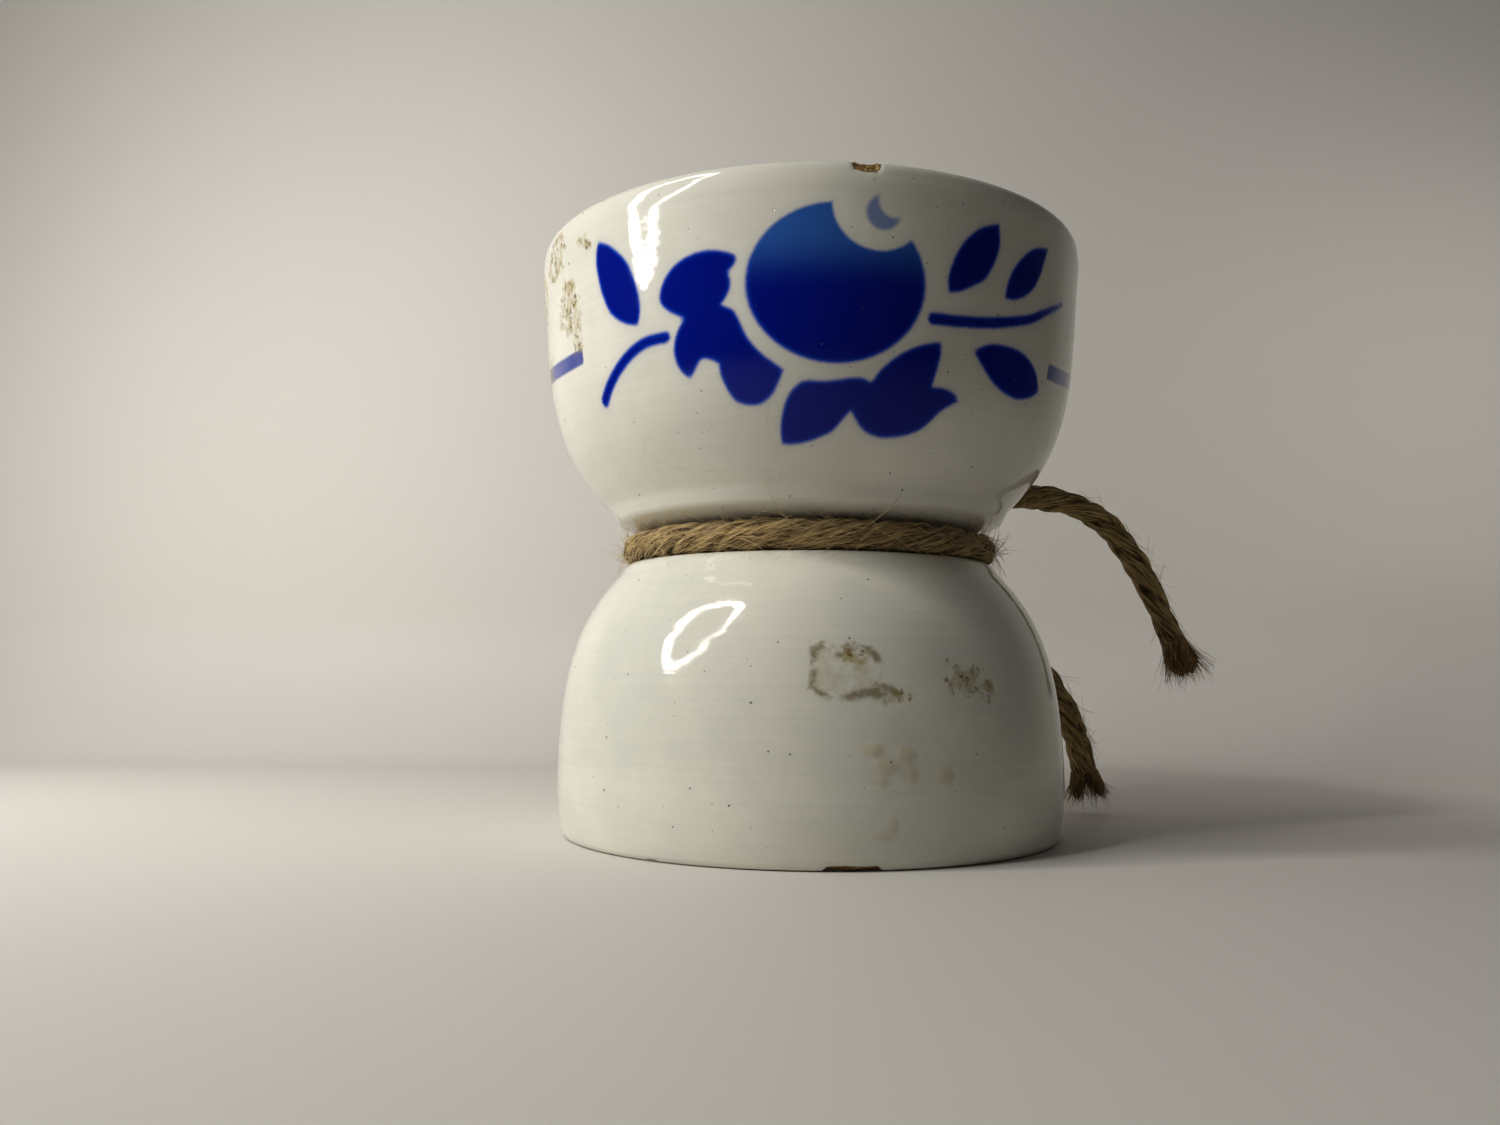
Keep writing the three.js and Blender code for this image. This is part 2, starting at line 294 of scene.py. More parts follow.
class Shading:
    """Writes a node tree: each method adds one node and gives its output socket."""

    def __init__(self, tree: bpy.types.NodeTree) -> None:
        """Keeps the tree that the nodes go into."""
        self.tree = tree

    def node(self, kind: str, inputs: dict | None = None, **settings: object) -> bpy.types.Node:
        """Adds a node.

        Args:
            kind: The node's type name.
            inputs: Sockets or constants for its inputs, by name or number.
            **settings: Its own properties.

        Returns:
            The node.
        """
        made = self.tree.nodes.new(kind)
        for key, value in settings.items():
            setattr(made, key, value)
        for key, value in (inputs or {}).items():
            if isinstance(value, Socket):
                self.tree.links.new(value, made.inputs[key])
            else:
                made.inputs[key].default_value = value
        return made

    def math(self, operation: str, *values: object) -> Socket:
        """The result of one Math node."""
        return self.node("ShaderNodeMath", dict(enumerate(values)), operation=operation).outputs[0]

    def scaled(self, vector: object, scale: object) -> Socket:
        """A vector times a vector, place by place."""
        inputs = {0: vector, 1: scale}
        return self.node("ShaderNodeVectorMath", inputs, operation="MULTIPLY").outputs[0]

    def step(self, value: object, low: object, high: object) -> Socket:
        """0 where value is under low, 1 where it is over high, and smooth between them."""
        inputs = {"Value": value, "From Min": low, "From Max": high}
        return self.node("ShaderNodeMapRange", inputs, interpolation_type="SMOOTHSTEP").outputs["Result"]

    def between(self, value: object, low: float, high: float) -> Socket:
        """A value from 0 to 1 as one from low to high."""
        inputs = {"Value": value, "To Min": low, "To Max": high}
        return self.node("ShaderNodeMapRange", inputs).outputs["Result"]

    def noise(self, vector: object, scale: float, detail: float = 3.0, rough: float = 0.5) -> Socket:
        """A noise texture's value."""
        inputs = {"Vector": vector, "Scale": scale, "Detail": detail, "Roughness": rough}
        return self.node("ShaderNodeTexNoise", inputs).outputs["Fac"]

    def mix(self, share: object, under: object, over: object) -> Socket:
        """A colour that goes from under to over as share goes from 0 to 1.

        The Mix node has one set of sockets for each data type, so they are taken by number.

        Args:
            share: How much of over.
            under: The colour at 0.
            over: The colour at 1.

        Returns:
            The mixed colour.
        """
        made = self.node("ShaderNodeMix", data_type="RGBA")
        for number, value in ((0, share), (6, under), (7, over)):
            if isinstance(value, Socket):
                self.tree.links.new(value, made.inputs[number])
            else:
                made.inputs[number].default_value = value
        return made.outputs[2]

    def attribute(self, name: str, output: str = "Fac") -> Socket:
        """A point attribute of the piece."""
        return self.node("ShaderNodeAttribute", attribute_name=name).outputs[output]

    def object_place(self) -> Socket:
        """The place in the piece's own coordinates, in millimetres."""
        place = self.node("ShaderNodeTexCoord").outputs["Object"]
        return self.scaled(place, (1 / MM,) * 3)

    def bump(self, height: object, distance: float) -> Socket:
        """A normal from a height, distance being the height of 1 in millimetres."""
        inputs = {"Height": height, "Distance": distance * MM}
        return self.node("ShaderNodeBump", inputs).outputs[0]

    def blend(self, first: object, second: object, share: float) -> Socket:
        """A share of the second value added to the rest of the first."""
        parts = self.math("MULTIPLY", first, 1 - share), self.math("MULTIPLY", second, share)
        return self.math("ADD", *parts)

    def use(self, group: bpy.types.NodeTree, inputs: dict) -> bpy.types.NodeOutputs:
        """Places a node group and gives its outputs."""
        return self.node("ShaderNodeGroup", inputs, node_tree=group).outputs


def new_group(
    name: str, inputs: dict[str, str], outputs: dict[str, str]
) -> tuple[Shading, dict, bpy.types.Node]:
    """Starts a shader node group.

    Args:
        name: The group's name.
        inputs: Socket types by name.
        outputs: Socket types by name.

    Returns:
        Its Shading, its input sockets by name, and the node that its results go to.
    """
    tree = bpy.data.node_groups.new(name, "ShaderNodeTree")
    for key, kind in inputs.items():
        tree.interface.new_socket(key, in_out="INPUT", socket_type=kind)
    for key, kind in outputs.items():
        tree.interface.new_socket(key, in_out="OUTPUT", socket_type=kind)
    given = tree.nodes.new("NodeGroupInput")
    result = tree.nodes.new("NodeGroupOutput")
    return Shading(tree), {key: given.outputs[key] for key in inputs}, result


class Effects:
    """The surface effects that more than one finish uses, each a node group built once."""

    def __init__(self) -> None:
        """Builds every group."""
        self.glaze_skin = self._glaze_skin()
        self.pinholes = self._pinholes()
        self.crazing = self._crazing()
        self.stain = self._stain()
        self.jute_fibres = self._jute_fibres()

    @staticmethod
    def _glaze_skin() -> bpy.types.NodeTree:
        """Fired glaze: cloudy tint, uneven polish, and a relief of throwing rings and orange peel."""
        write, given, result = new_group(
            "glaze_skin",
            {"Place": "NodeSocketVector", "Rings": "NodeSocketFloat"},
            {"Cloud": "NodeSocketFloat", "Polish": "NodeSocketFloat", "Relief": "NodeSocketFloat"},
        )
        place = given["Place"]
        cloud = write.noise(place, 0.045, 4.0, 0.6)
        banded = write.noise(write.scaled(place, (0.02, 0.02, 0.9)), 1.0, 3.0, 0.6)
        cloudy = write.blend(cloud, banded, 0.28)
        smears = write.noise(write.scaled(place, (0.12, 0.12, 0.3)), 1.0, 5.0, 0.65)
        peel = write.noise(place, 0.5, 2.0, 0.5)
        rings = write.math("MULTIPLY", banded, given["Rings"])
        relief = write.math("ADD", write.math("MULTIPLY", peel, 0.35), rings)
        write.tree.links.new(write.step(cloudy, 0.32, 0.68), result.inputs["Cloud"])
        write.tree.links.new(smears, result.inputs["Polish"])
        write.tree.links.new(relief, result.inputs["Relief"])
        return write.tree

    @staticmethod
    def _pinholes() -> bpy.types.NodeTree:
        """Round specks: cells of a Voronoi pattern whose random value is under Share hold one each."""
        write, given, result = new_group(
            "pinholes",
            {"Place": "NodeSocketVector", "Density": "NodeSocketFloat", "Share": "NodeSocketFloat",
             "Size": "NodeSocketFloat"},
            {"Mask": "NodeSocketFloat"},
        )
        cells = write.node("ShaderNodeTexVoronoi", {"Vector": given["Place"], "Scale": given["Density"]})
        chance = write.node("ShaderNodeSeparateColor", {0: cells.outputs["Color"]}).outputs
        kept = write.math("LESS_THAN", chance[0], given["Share"])
        radius = write.math("MULTIPLY", given["Size"], write.between(chance[1], 0.4, 1.0))
        inner = write.math("MULTIPLY", radius, 0.5)
        spot = write.math("SUBTRACT", 1.0, write.step(cells.outputs["Distance"], inner, radius))
        write.tree.links.new(write.math("MULTIPLY", spot, kept), result.inputs["Mask"])
        return write.tree

    @staticmethod
    def _crazing() -> bpy.types.NodeTree:
        """Hair cracks: the edges between the cells of a Voronoi pattern that noise has bent."""
        write, given, result = new_group(
            "crazing",
            {"Place": "NodeSocketVector", "Cell": "NodeSocketFloat", "Width": "NodeSocketFloat"},
            {"Mask": "NodeSocketFloat"},
        )
        bend = write.node("ShaderNodeTexNoise", {"Vector": given["Place"], "Scale": 0.12, "Detail": 3.0})
        bent = write.node(
            "ShaderNodeVectorMath",
            {0: bend.outputs["Color"], 1: (9.0, 9.0, 9.0), 2: given["Place"]},
            operation="MULTIPLY_ADD",
        ).outputs[0]
        cracks = write.node(
            "ShaderNodeTexVoronoi",
            {"Vector": bent, "Scale": write.math("DIVIDE", 1.0, given["Cell"])},
            feature="DISTANCE_TO_EDGE",
        )
        edge = write.math("DIVIDE", given["Width"], given["Cell"])
        line = write.math("SUBTRACT", 1.0, write.step(cracks.outputs["Distance"], 0.0, edge))
        patches = write.step(write.noise(given["Place"], 0.05, 2.0), 0.5, 0.62)
        write.tree.links.new(write.math("MULTIPLY", line, patches), result.inputs["Mask"])
        return write.tree

    @staticmethod
    def _stain() -> bpy.types.NodeTree:
        """A stain from its signed distance: a broken soft rim, a patchy inside, and dark spots."""
        write, given, result = new_group(
            "stain",
            {"Place": "NodeSocketVector", "Inside": "NodeSocketFloat", "Ragged": "NodeSocketFloat"},
            {"Rim": "NodeSocketFloat", "Fill": "NodeSocketFloat", "Spots": "NodeSocketFloat"},
        )
        wander = write.math("SUBTRACT", write.noise(given["Place"], 0.3, 3.0, 0.55), 0.5)
        inside = write.math("MULTIPLY_ADD", wander, given["Ragged"], given["Inside"])
        patches = write.step(write.noise(given["Place"], 0.36, 3.0, 0.55), 0.36, 0.62)
        rim = write.math("SUBTRACT", 1.0, write.step(write.math("ABSOLUTE", inside), 0.15, 1.35))
        covered = write.step(inside, -0.5, 1.3)
        spots = write.step(write.noise(given["Place"], 0.85, 4.0, 0.65), 0.5, 0.66)
        write.tree.links.new(write.math("MULTIPLY", rim, patches), result.inputs["Rim"])
        write.tree.links.new(write.math("MULTIPLY", covered, patches), result.inputs["Fill"])
        write.tree.links.new(write.math("MULTIPLY", covered, spots), result.inputs["Spots"])
        return write.tree

    @staticmethod
    def _jute_fibres() -> bpy.types.NodeTree:
        """Jute: fine and coarse noise drawn out along the rope, as a shade and as a height."""
        write, given, result = new_group(
            "jute_fibres",
            {"Place": "NodeSocketVector"},
            {"Shade": "NodeSocketFloat", "Height": "NodeSocketFloat"},
        )
        fine = write.noise(write.scaled(given["Place"], (4.0, 4.0, 0.3)), 1.0, 3.0, 0.65)
        coarse = write.noise(write.scaled(given["Place"], (1.6, 1.6, 0.12)), 1.0, 3.0, 0.6)
        shade = write.blend(fine, coarse, 0.45)
        write.tree.links.new(write.step(shade, 0.4, 0.6), result.inputs["Shade"])
        write.tree.links.new(fine, result.inputs["Height"])
        return write.tree


def new_material(name: str) -> tuple[bpy.types.Material, Shading, bpy.types.Node]:
    """A material with only a Principled shader on its output.

    Args:
        name: The material's name.

    Returns:
        The material, its Shading, and the shader node.
    """
    material = bpy.data.materials.new(name)
    material.use_nodes = True
    tree = material.node_tree
    tree.nodes.clear()
    write = Shading(tree)
    shader = write.node("ShaderNodeBsdfPrincipled")
    write.node("ShaderNodeOutputMaterial", {"Surface": shader.outputs[0]})
    return material, write, shader


@dataclass(frozen=True)
class GlazeFinish:
    """White tin glaze with age in it: its own colours, wear and relief."""

    name: str
    white: Colour
    cloudy_white: Colour
    throwing_rings: float
    speck_share: float
    crazing_strength: float
    speck_sizes: tuple[tuple[float, float], ...] = ((0.28, 0.1), (0.52, 0.105))
    crack_cell: float = 21.0
    crack_width: float = 0.13
    stain_ragged: float = 2.4
    grime_ragged: float = 9.0
    roughness: tuple[float, float] = (0.015, 0.13)
    relief: float = 0.07
    ior: float = 1.47
    specular: float = 0.32
    speck_brown: Colour = (0.10, 0.07, 0.035, 1)
    crack_brown: Colour = (0.25, 0.19, 0.11, 1)
    stain_brown: Colour = (0.155, 0.100, 0.018, 1)
    grey_green: Colour = (0.37, 0.29, 0.09, 1)
    chip_brown: Colour = (0.13, 0.07, 0.025, 1)
    chip_ochre: Colour = (0.50, 0.34, 0.14, 1)
    beige: Colour = (0.58, 0.46, 0.26, 1)
    biscuit: Colour = (0.56, 0.46, 0.33, 1)
    cobalt: Colour = (0.0006, 0.0095, 0.25, 1)
    edge_cobalt: Colour = (0.004, 0.055, 0.48, 1)
    thin_cobalt: Colour = (0.040, 0.140, 0.46, 1)
    worn_cobalt: Colour = (0.022, 0.050, 0.34, 1)
    decorated: bool = False

    def material(self, effects: Effects) -> bpy.types.Material:
        """Builds the material.

        The layers, from below: body colour, crazing, painted stencil, specks, stains, chips and the
        bare foot.

        Args:
            effects: The shared node groups.

        Returns:
            The material.
        """
        material, write, shader = new_material(self.name)
        place = write.object_place()
        skin = write.use(effects.glaze_skin, {"Place": place, "Rings": self.throwing_rings})
        colour = write.mix(skin["Cloud"], self.white, self.cloudy_white)
        cracks = {"Place": place, "Cell": self.crack_cell, "Width": self.crack_width}
        crazing = write.use(effects.crazing, cracks)["Mask"]
        lines = write.math("MULTIPLY", crazing, self.crazing_strength)
        colour = write.mix(lines, colour, self.crack_brown)
        if self.decorated:
            colour = self._stencilled(write, place, colour)
        coarse, fine = (
            write.use(
                effects.pinholes,
                {"Place": place, "Density": density, "Share": self.speck_share, "Size": size},
            )["Mask"]
            for density, size in self.speck_sizes
        )
        specks = write.math("MAXIMUM", coarse, fine)
        colour = write.mix(write.math("MULTIPLY", specks, 0.75), colour, self.speck_brown)
        blister = write.math("MULTIPLY", write.step(write.attribute("blister"), -0.6, 0.7), 0.4)
        colour = write.mix(blister, colour, self.beige)
        ring = write.use(
            effects.stain, {"Place": place, "Inside": write.attribute("stain"), "Ragged": self.stain_ragged}
        )
        colour = write.mix(write.math("MULTIPLY", ring["Fill"], 0.28), colour, self.grey_green)
        colour = write.mix(write.math("MULTIPLY", ring["Rim"], 0.68), colour, self.stain_brown)
        grime = write.use(
            effects.stain, {"Place": place, "Inside": write.attribute("grime"), "Ragged": self.grime_ragged}
        )
        colour = write.mix(write.math("MULTIPLY", grime["Fill"], 0.62), colour, self.grey_green)
        colour = write.mix(write.math("MULTIPLY", grime["Spots"], 0.88), colour, self.stain_brown)
        chips = write.step(write.attribute("chip"), -0.1, 0.25)
        crumbs = write.noise(place, 1.6, 4.0, 0.7)
        chip_colour = write.mix(write.step(crumbs, 0.4, 0.62), self.chip_brown, self.chip_ochre)
        colour = write.mix(chips, colour, chip_colour)
        bare = write.step(write.attribute("bare"), -0.1, 0.2)
        colour = write.mix(bare, colour, self.biscuit)
        open_clay = write.math("MAXIMUM", chips, bare)
        rough = write.between(skin["Polish"], *self.roughness)
        stained = write.math("MULTIPLY_ADD", grime["Fill"], 0.3, rough)
        final_rough = write.math("MULTIPLY_ADD", open_clay, 0.6, stained)
        pocks = write.math("MULTIPLY_ADD", specks, -1.5, skin["Relief"])
        relief = write.math("MULTIPLY_ADD", write.math("MULTIPLY", crumbs, open_clay), 4.0, pocks)
        tree = write.tree
        tree.links.new(colour, shader.inputs["Base Color"])
        tree.links.new(final_rough, shader.inputs["Roughness"])
        tree.links.new(write.bump(relief, self.relief), shader.inputs["Normal"])
        shader.inputs["IOR"].default_value = self.ior
        shader.inputs["Specular IOR Level"].default_value = self.specular
        return material

    def _stencilled(
        self, write: Shading, place: bpy.types.NodeSocket, ground: bpy.types.NodeSocket
    ) -> Socket:
        """Sprays cobalt through the stencil: a soft edge, a cloudy film, and worn links.

        Args:
            write: The material's Shading.
            place: The place on the bowl.
            ground: The colour under the blue.

        Returns:
            The colour with the blue on it.
        """
        drift = write.math("SUBTRACT", write.noise(place, 0.9, 3.0, 0.6), 0.5)
        motif = write.math("MULTIPLY_ADD", drift, 0.25, write.attribute("stencil"))
        spray = write.step(motif, -0.5, 0.5)
        haze = write.math("MULTIPLY", write.step(motif, -1.9, 0.2), 0.09)
        film = write.noise(place, 0.16, 4.0, 0.6)
        blue = write.mix(write.step(motif, 0.1, 1.1), self.edge_cobalt, self.cobalt)
        blue = write.mix(write.step(write.attribute("thinness"), 0.0, 1.0), blue, self.thin_cobalt)
        blue = write.mix(write.math("MULTIPLY", film, 0.07), blue, self.worn_cobalt)
        link = write.step(write.attribute("link"), -0.3, 0.45)
        links = write.math("MULTIPLY", link, write.between(film, 0.78, 1.0))
        covered = write.mix(write.math("MAXIMUM", spray, haze), ground, blue)
        faint = write.step(write.attribute("faint"), -0.5, 0.6)
        covered = write.mix(write.math("MULTIPLY", faint, 0.72), covered, self.thin_cobalt)
        return write.mix(links, covered, self.worn_cobalt)


@dataclass(frozen=True)
class JuteFinish:
    """Twisted jute, or its loose fibres."""

    name: str
    dark: Colour
    light: Colour
    fuzz: float
    shadow: Colour = (0.055, 0.032, 0.013, 1)
    roughness: float = 0.72
    relief: float = 0.3

    def material(self, effects: Effects) -> bpy.types.Material:
        """Builds the material: streaks along the fibres, and painted shade where the strands meet.

        Args:
            effects: The shared node groups.

        Returns:
            The material.
        """
        material, write, shader = new_material(self.name)
        fibres = write.use(effects.jute_fibres, {"Place": write.attribute("rope_place", "Vector")})
        colour = write.mix(fibres["Shade"], self.dark, self.light)
        # Painted shade: the shadow colour, mixed in where the strands meet.
        depth = write.math("MULTIPLY", write.attribute("painted_shade"), 0.72)
        colour = write.mix(depth, colour, self.shadow)
        tree = write.tree
        tree.links.new(colour, shader.inputs["Base Color"])
        tree.links.new(write.bump(fibres["Height"], self.relief), shader.inputs["Normal"])
        shader.inputs["Roughness"].default_value = self.roughness
        shader.inputs["Sheen Weight"].default_value = self.fuzz
        shader.inputs["Sheen Roughness"].default_value = 0.4
        return material


# ---- Stencil and wear ----------------------------------------------------------------------------
# Places on a bowl's outside are (s, z): s is the arc from the front, at a bowl's own reference
# radius, and z the height above the table.

FAR_OUTSIDE = -3.0


def closed_outline(arcs: Outline) -> Points:
    """A closed outline with corners: a smooth line along each arc, up to the next one's start.

    Args:
        arcs: The points of each arc, without its end.

    Returns:
        Points (n, 2), the first one not repeated.
    """
    following = arcs[1:] + arcs[:1]
    lines = [smooth_line(np.array([*arc, after[0]]), 4)[:-1] for arc, after in zip(arcs, following)]
    return np.vstack(lines)


def depth_inside(places: Points, outline: Points) -> Points:
    """Signed distance to a closed outline, positive inside it.

    The distance is the least one to any of its stretches. A place is inside if a level line from it
    crosses the outline an odd number of times.

    Args:
        places: (n, 2).
        outline: (m, 2).

    Returns:
        (n,), no less than FAR_OUTSIDE.
    """
    low, high = outline.min(axis=0) + FAR_OUTSIDE, outline.max(axis=0) - FAR_OUTSIDE
    near = np.all((places > low) & (places < high), axis=1)
    p = places[near][:, None]
    a = outline[None]
    b = np.roll(outline, -1, axis=0)[None]
    stretch = b - a
    share = np.clip(((p - a) * stretch).sum(-1) / (stretch**2).sum(-1), 0, 1)[..., None]
    distance = np.linalg.norm(p - a - share * stretch, axis=-1).min(axis=1)
    rise = np.where(stretch[..., 1] == 0, 1e-9, stretch[..., 1])
    crossing_s = a[..., 0] + (p[..., 1] - a[..., 1]) * stretch[..., 0] / rise
    spans = (a[..., 1] > p[..., 1]) != (b[..., 1] > p[..., 1])
    odd = (spans & (p[..., 0] < crossing_s)).sum(axis=1) % 2 == 1
    depth = np.full(len(places), FAR_OUTSIDE)
    depth[near] = np.maximum(np.where(odd, distance, -distance), FAR_OUTSIDE)
    return depth


def depth_in_stroke(places: Points, line: Points, width: Points) -> Points:
    """Signed depth in a stroke: half its width there, less the distance to its line's nearest point.

    Args:
        places: (n, 2).
        line: The stroke's middle line, (m, 2).
        width: Its width at each of the line's points, (m,).

    Returns:
        (n,), no less than FAR_OUTSIDE.
    """
    distances = np.linalg.norm(places[:, None] - line[None], axis=-1)
    nearest = distances.argmin(axis=1)
    return np.maximum(width[nearest] / 2 - distances[np.arange(len(places)), nearest], FAR_OUTSIDE)


def depth_in_ellipse(places: Points, centre: tuple[float, float], radii: tuple[float, float]) -> Points:
    """About the signed depth in an ellipse: (1 - its normalised radius) times its smaller half axis."""
    normalised = np.linalg.norm((places - centre) / np.array(radii), axis=1)
    return np.maximum((1 - normalised) * min(radii), FAR_OUTSIDE)


LEFT_LEAF: Outline = (
    ((-44.9, 119.9), (-42, 118.6), (-39.2, 116.4), (-37.2, 114.2), (-35.4, 110.8), (-34.3, 107),
     (-34.1, 104)),
    ((-34.9, 101.2), (-38, 102), (-42.2, 104.8), (-44.3, 108.5), (-45.6, 112.5), (-46.1, 116),
     (-45.6, 119)),
)
LEFT_PETALS: Outline = (
    ((-24.3, 100.9), (-28.3, 103.3), (-29.5, 105.3), (-28, 109.3), (-24, 112.2), (-18.7, 113.1),
     (-14.1, 111.9), (-13.2, 111), (-13.7, 109.7)),
    ((-14.9, 108.5), (-14.4, 106.7), (-14.7, 105.1), (-15.5, 103.7)),
    ((-16.3, 102.7), (-14, 101.5), (-11.7, 96.9), (-9.7, 94.3), (-7.3, 92.3)),
    ((-4.7, 90.5), (-5.5, 88.7), (-7.3, 86), (-10, 84.5), (-13, 84.7), (-15, 85.5), (-17.3, 89.7)),
    ((-17.6, 92.1), (-19.5, 93), (-21, 93.1), (-22.8, 91)),
    ((-24, 89.9), (-25.3, 90.9), (-26.5, 92.7), (-27, 95.3), (-26.3, 98), (-25.3, 99.7)),
)
LOWER_PETALS: Outline = (
    ((-5.8, 77.8), (-6, 80), (-5.5, 82.7), (-4.3, 85.7), (-3, 87.3), (-1, 88.5), (3.3, 88.5),
     (10.3, 89.2)),
    ((12.3, 88.5), (14, 90.7), (16.7, 93), (20, 94.9), (23.3, 96)),
    ((26, 96.5), (26.3, 94.3), (25.9, 91.7)),
    ((25.2, 88.5), (28.7, 88.3), (31, 87.5)),
    ((32.1, 86.5), (30, 85.3), (28, 84), (25.3, 81.3), (22, 79.8), (18.7, 79.2), (15.3, 79.1), (12, 80),
     (10.3, 81.3)),
    ((8.7, 83.3), (7.3, 82), (5.3, 80), (2.7, 78.9), (-0.7, 78), (-3.3, 77.7)),
)
TALL_RIGHT_LEAF: Outline = (
    ((38.3, 120.7), (38.8, 118.3), (38.7, 115.7), (37.3, 112.3), (35.3, 109.3), (32.7, 107.7),
     (30, 106.3)),
    ((27, 105.5), (26.7, 107.7), (27, 109.7), (28, 112.3), (30, 115.7), (33.3, 118.7), (36, 120)),
)
SHORT_RIGHT_LEAF: Outline = (
    ((54.5, 120), (53.5, 117.5), (52, 114), (50, 111), (47, 108.5), (43.5, 107)),
    ((40.8, 106.8), (41, 109), (42.5, 112.5), (45.5, 116), (49, 118.5), (52, 119.5)),
)
LOW_RIGHT_LEAF: Outline = (
    ((33.5, 95.8), (37, 97.5), (42, 98.1), (47, 97.8), (51, 96.5), (54, 94.5)),
    ((56.2, 91.5), (53, 89.8), (48, 88.8), (43, 89.5), (39, 91.2), (36, 93.5)),
)
LEFT_STEM = ((-28.5, 98.1), (-33.3, 97.8), (-36.7, 96.7), (-40, 95), (-44.7, 91.7), (-47.7, 89))
RIGHT_STEM = ((24, 100.5), (30, 100.7), (37, 101.5), (43, 102.8), (49, 104.5), (54, 106.8), (63, 111))
LEAVES = (LEFT_LEAF, LEFT_PETALS, LOWER_PETALS, TALL_RIGHT_LEAF, SHORT_RIGHT_LEAF, LOW_RIGHT_LEAF)


@dataclass(frozen=True)
class FlowerStencil:
    """A sprayed fruit between petals and leaves, twice round the bowl, with a band between the two."""

    radius: float = 60.0
    fruit: tuple[float, float] = (5.2, 106.0)
    fruit_radii: tuple[float, float] = (17.0, 14.6)
    bite: tuple[float, float] = (13.0, 120.7)
    bite_radius: float = 8.7
    crescent: tuple[float, float] = (13.7, 119.0)
    crescent_radius: float = 3.3
    crescent_cut: tuple[float, float] = (15.8, 121.2)
    crescent_cut_radius: float = 3.0
    thinning: tuple[float, float] = (102.5, 118.5)
    left_widths: tuple[float, ...] = (2.3, 2.6)
    right_widths: tuple[float, ...] = (2.4, 2.35, 2.3, 2.1, 1.9, 1.1)
    stem_steps: int = 16
    band_from: tuple[float, float] = (58.5, 96.2)
    band_to: tuple[float, float] = (135.5, 98.9)
    band_arch: float = 0.0045
    band_width: float = 3.3
    band_crest: float = 9.0

    def paint(self, theta: Points, z: Points) -> dict[str, Points]:
        """Works out how deep each place is in the stencil's openings.

        Args:
            theta: Angle from the front, (n,).
            z: Height, (n,).

        Returns:
            Depths in millimetres by attribute name, and the fruit's thinness from 0 to 1.
        """
        period = math.pi * self.radius
        s = np.mod(theta * self.radius + period / 2, period) - period / 2
        places = np.stack([s, z], axis=1)
        depths = [depth_inside(places, closed_outline(leaf)) for leaf in LEAVES]
        for stem, widths in ((LEFT_STEM, self.left_widths), (RIGHT_STEM, self.right_widths)):
            line = smooth_line(np.array(stem), self.stem_steps)
            share = np.linspace(0, 1, len(line)) * (len(widths) - 1)
            width = np.interp(share, np.arange(len(widths)), widths)
            depths.append(depth_in_stroke(places, line, width))
        fruit = depth_in_ellipse(places, self.fruit, self.fruit_radii)
        whole = np.minimum(fruit, np.linalg.norm(places - self.bite, axis=1) - self.bite_radius)
        depths.append(whole)
        crescent = np.minimum(
            self.crescent_radius - np.linalg.norm(places - self.crescent, axis=1),
            np.linalg.norm(places - self.crescent_cut, axis=1) - self.crescent_cut_radius,
        )
        thinness = np.where(whole > FAR_OUTSIDE / 3, smoothstep(*self.thinning, z), 0.0)
        return {
            "stencil": np.max(depths, axis=0),
            "thinness": thinness,
            "faint": np.maximum(crescent, FAR_OUTSIDE),
            "link": self._band(np.mod(s, period), z),
        }

    def _band(self, s: Points, z: Points) -> Points:
        """Depth in the band: its middle rises by arch x^2, x being the distance in from its nearer end.

        Near the crest x is rounded off: x = half - sqrt(d^2 + crest^2), d from the band's middle.

        Args:
            s: Arc from the front, from 0 to the pattern's period, (n,).
            z: Height, (n,).

        Returns:
            The depth, (n,).
        """
        (first, low), (last, high) = self.band_from, self.band_to
        inward = np.minimum(s - first, last - s)
        crest = (last - first) / 2 - np.hypot(s - (first + last) / 2, self.band_crest)
        middle = np.interp(s, (first, last), (low, high)) + self.band_arch * np.maximum(crest, 0) ** 2
        return np.maximum(np.minimum(self.band_width / 2 - np.abs(z - middle), inward), FAR_OUTSIDE)


@dataclass(frozen=True)
class Chip:
    """A chip at an edge: a ball of this radius, drawn out along the edge."""

    s: float
    z: float
    r: float
    half_length: float
    radius: float


@dataclass(frozen=True)
class Wear:
    """Where a bowl is worn: places as (s, z, half width, half height)."""

    radius: float
    outlines: tuple[Outline, ...] = ()
    grime: tuple[tuple[float, float, float, float], ...] = ()
    blisters: tuple[tuple[float, float, float, float], ...] = ()
    chips: tuple[Chip, ...] = ()

    def fields(self, theta: Points, r: Points, z: Points) -> dict[str, Points]:
        """Works out how deep each place is in the bowl's stains, blisters and chips.

        Args:
            theta: Angle from the front, (n,).
            r: Distance from the axis, (n,).
            z: Height, (n,).

        Returns:
            Depths in millimetres by attribute name.
        """
        places = np.stack([theta * self.radius, z], axis=1)
        none = np.full(len(places), FAR_OUTSIDE)
        stains = [depth_inside(places, closed_outline(outline)) for outline in self.outlines]
        grime = [depth_in_ellipse(places, spot[:2], spot[2:]) for spot in self.grime]
        blisters = [depth_in_ellipse(places, spot[:2], spot[2:]) for spot in self.blisters]
        chips = []
        for chip in self.chips:
            beside = np.maximum(np.abs(places[:, 0] - chip.s) - chip.half_length, 0)
            away = np.sqrt(beside**2 + (z - chip.z) ** 2 + (r - chip.r) ** 2)
            chips.append(np.maximum(chip.radius - away, FAR_OUTSIDE))
        return {
            "stain": np.max([none, *stains], axis=0),
            "grime": np.max([none, *grime], axis=0),
            "blister": np.max([none, *blisters], axis=0),
            "chip": np.max([none, *chips], axis=0),
        }


# ---- Bowls ---------------------------------------------------------------------------------------

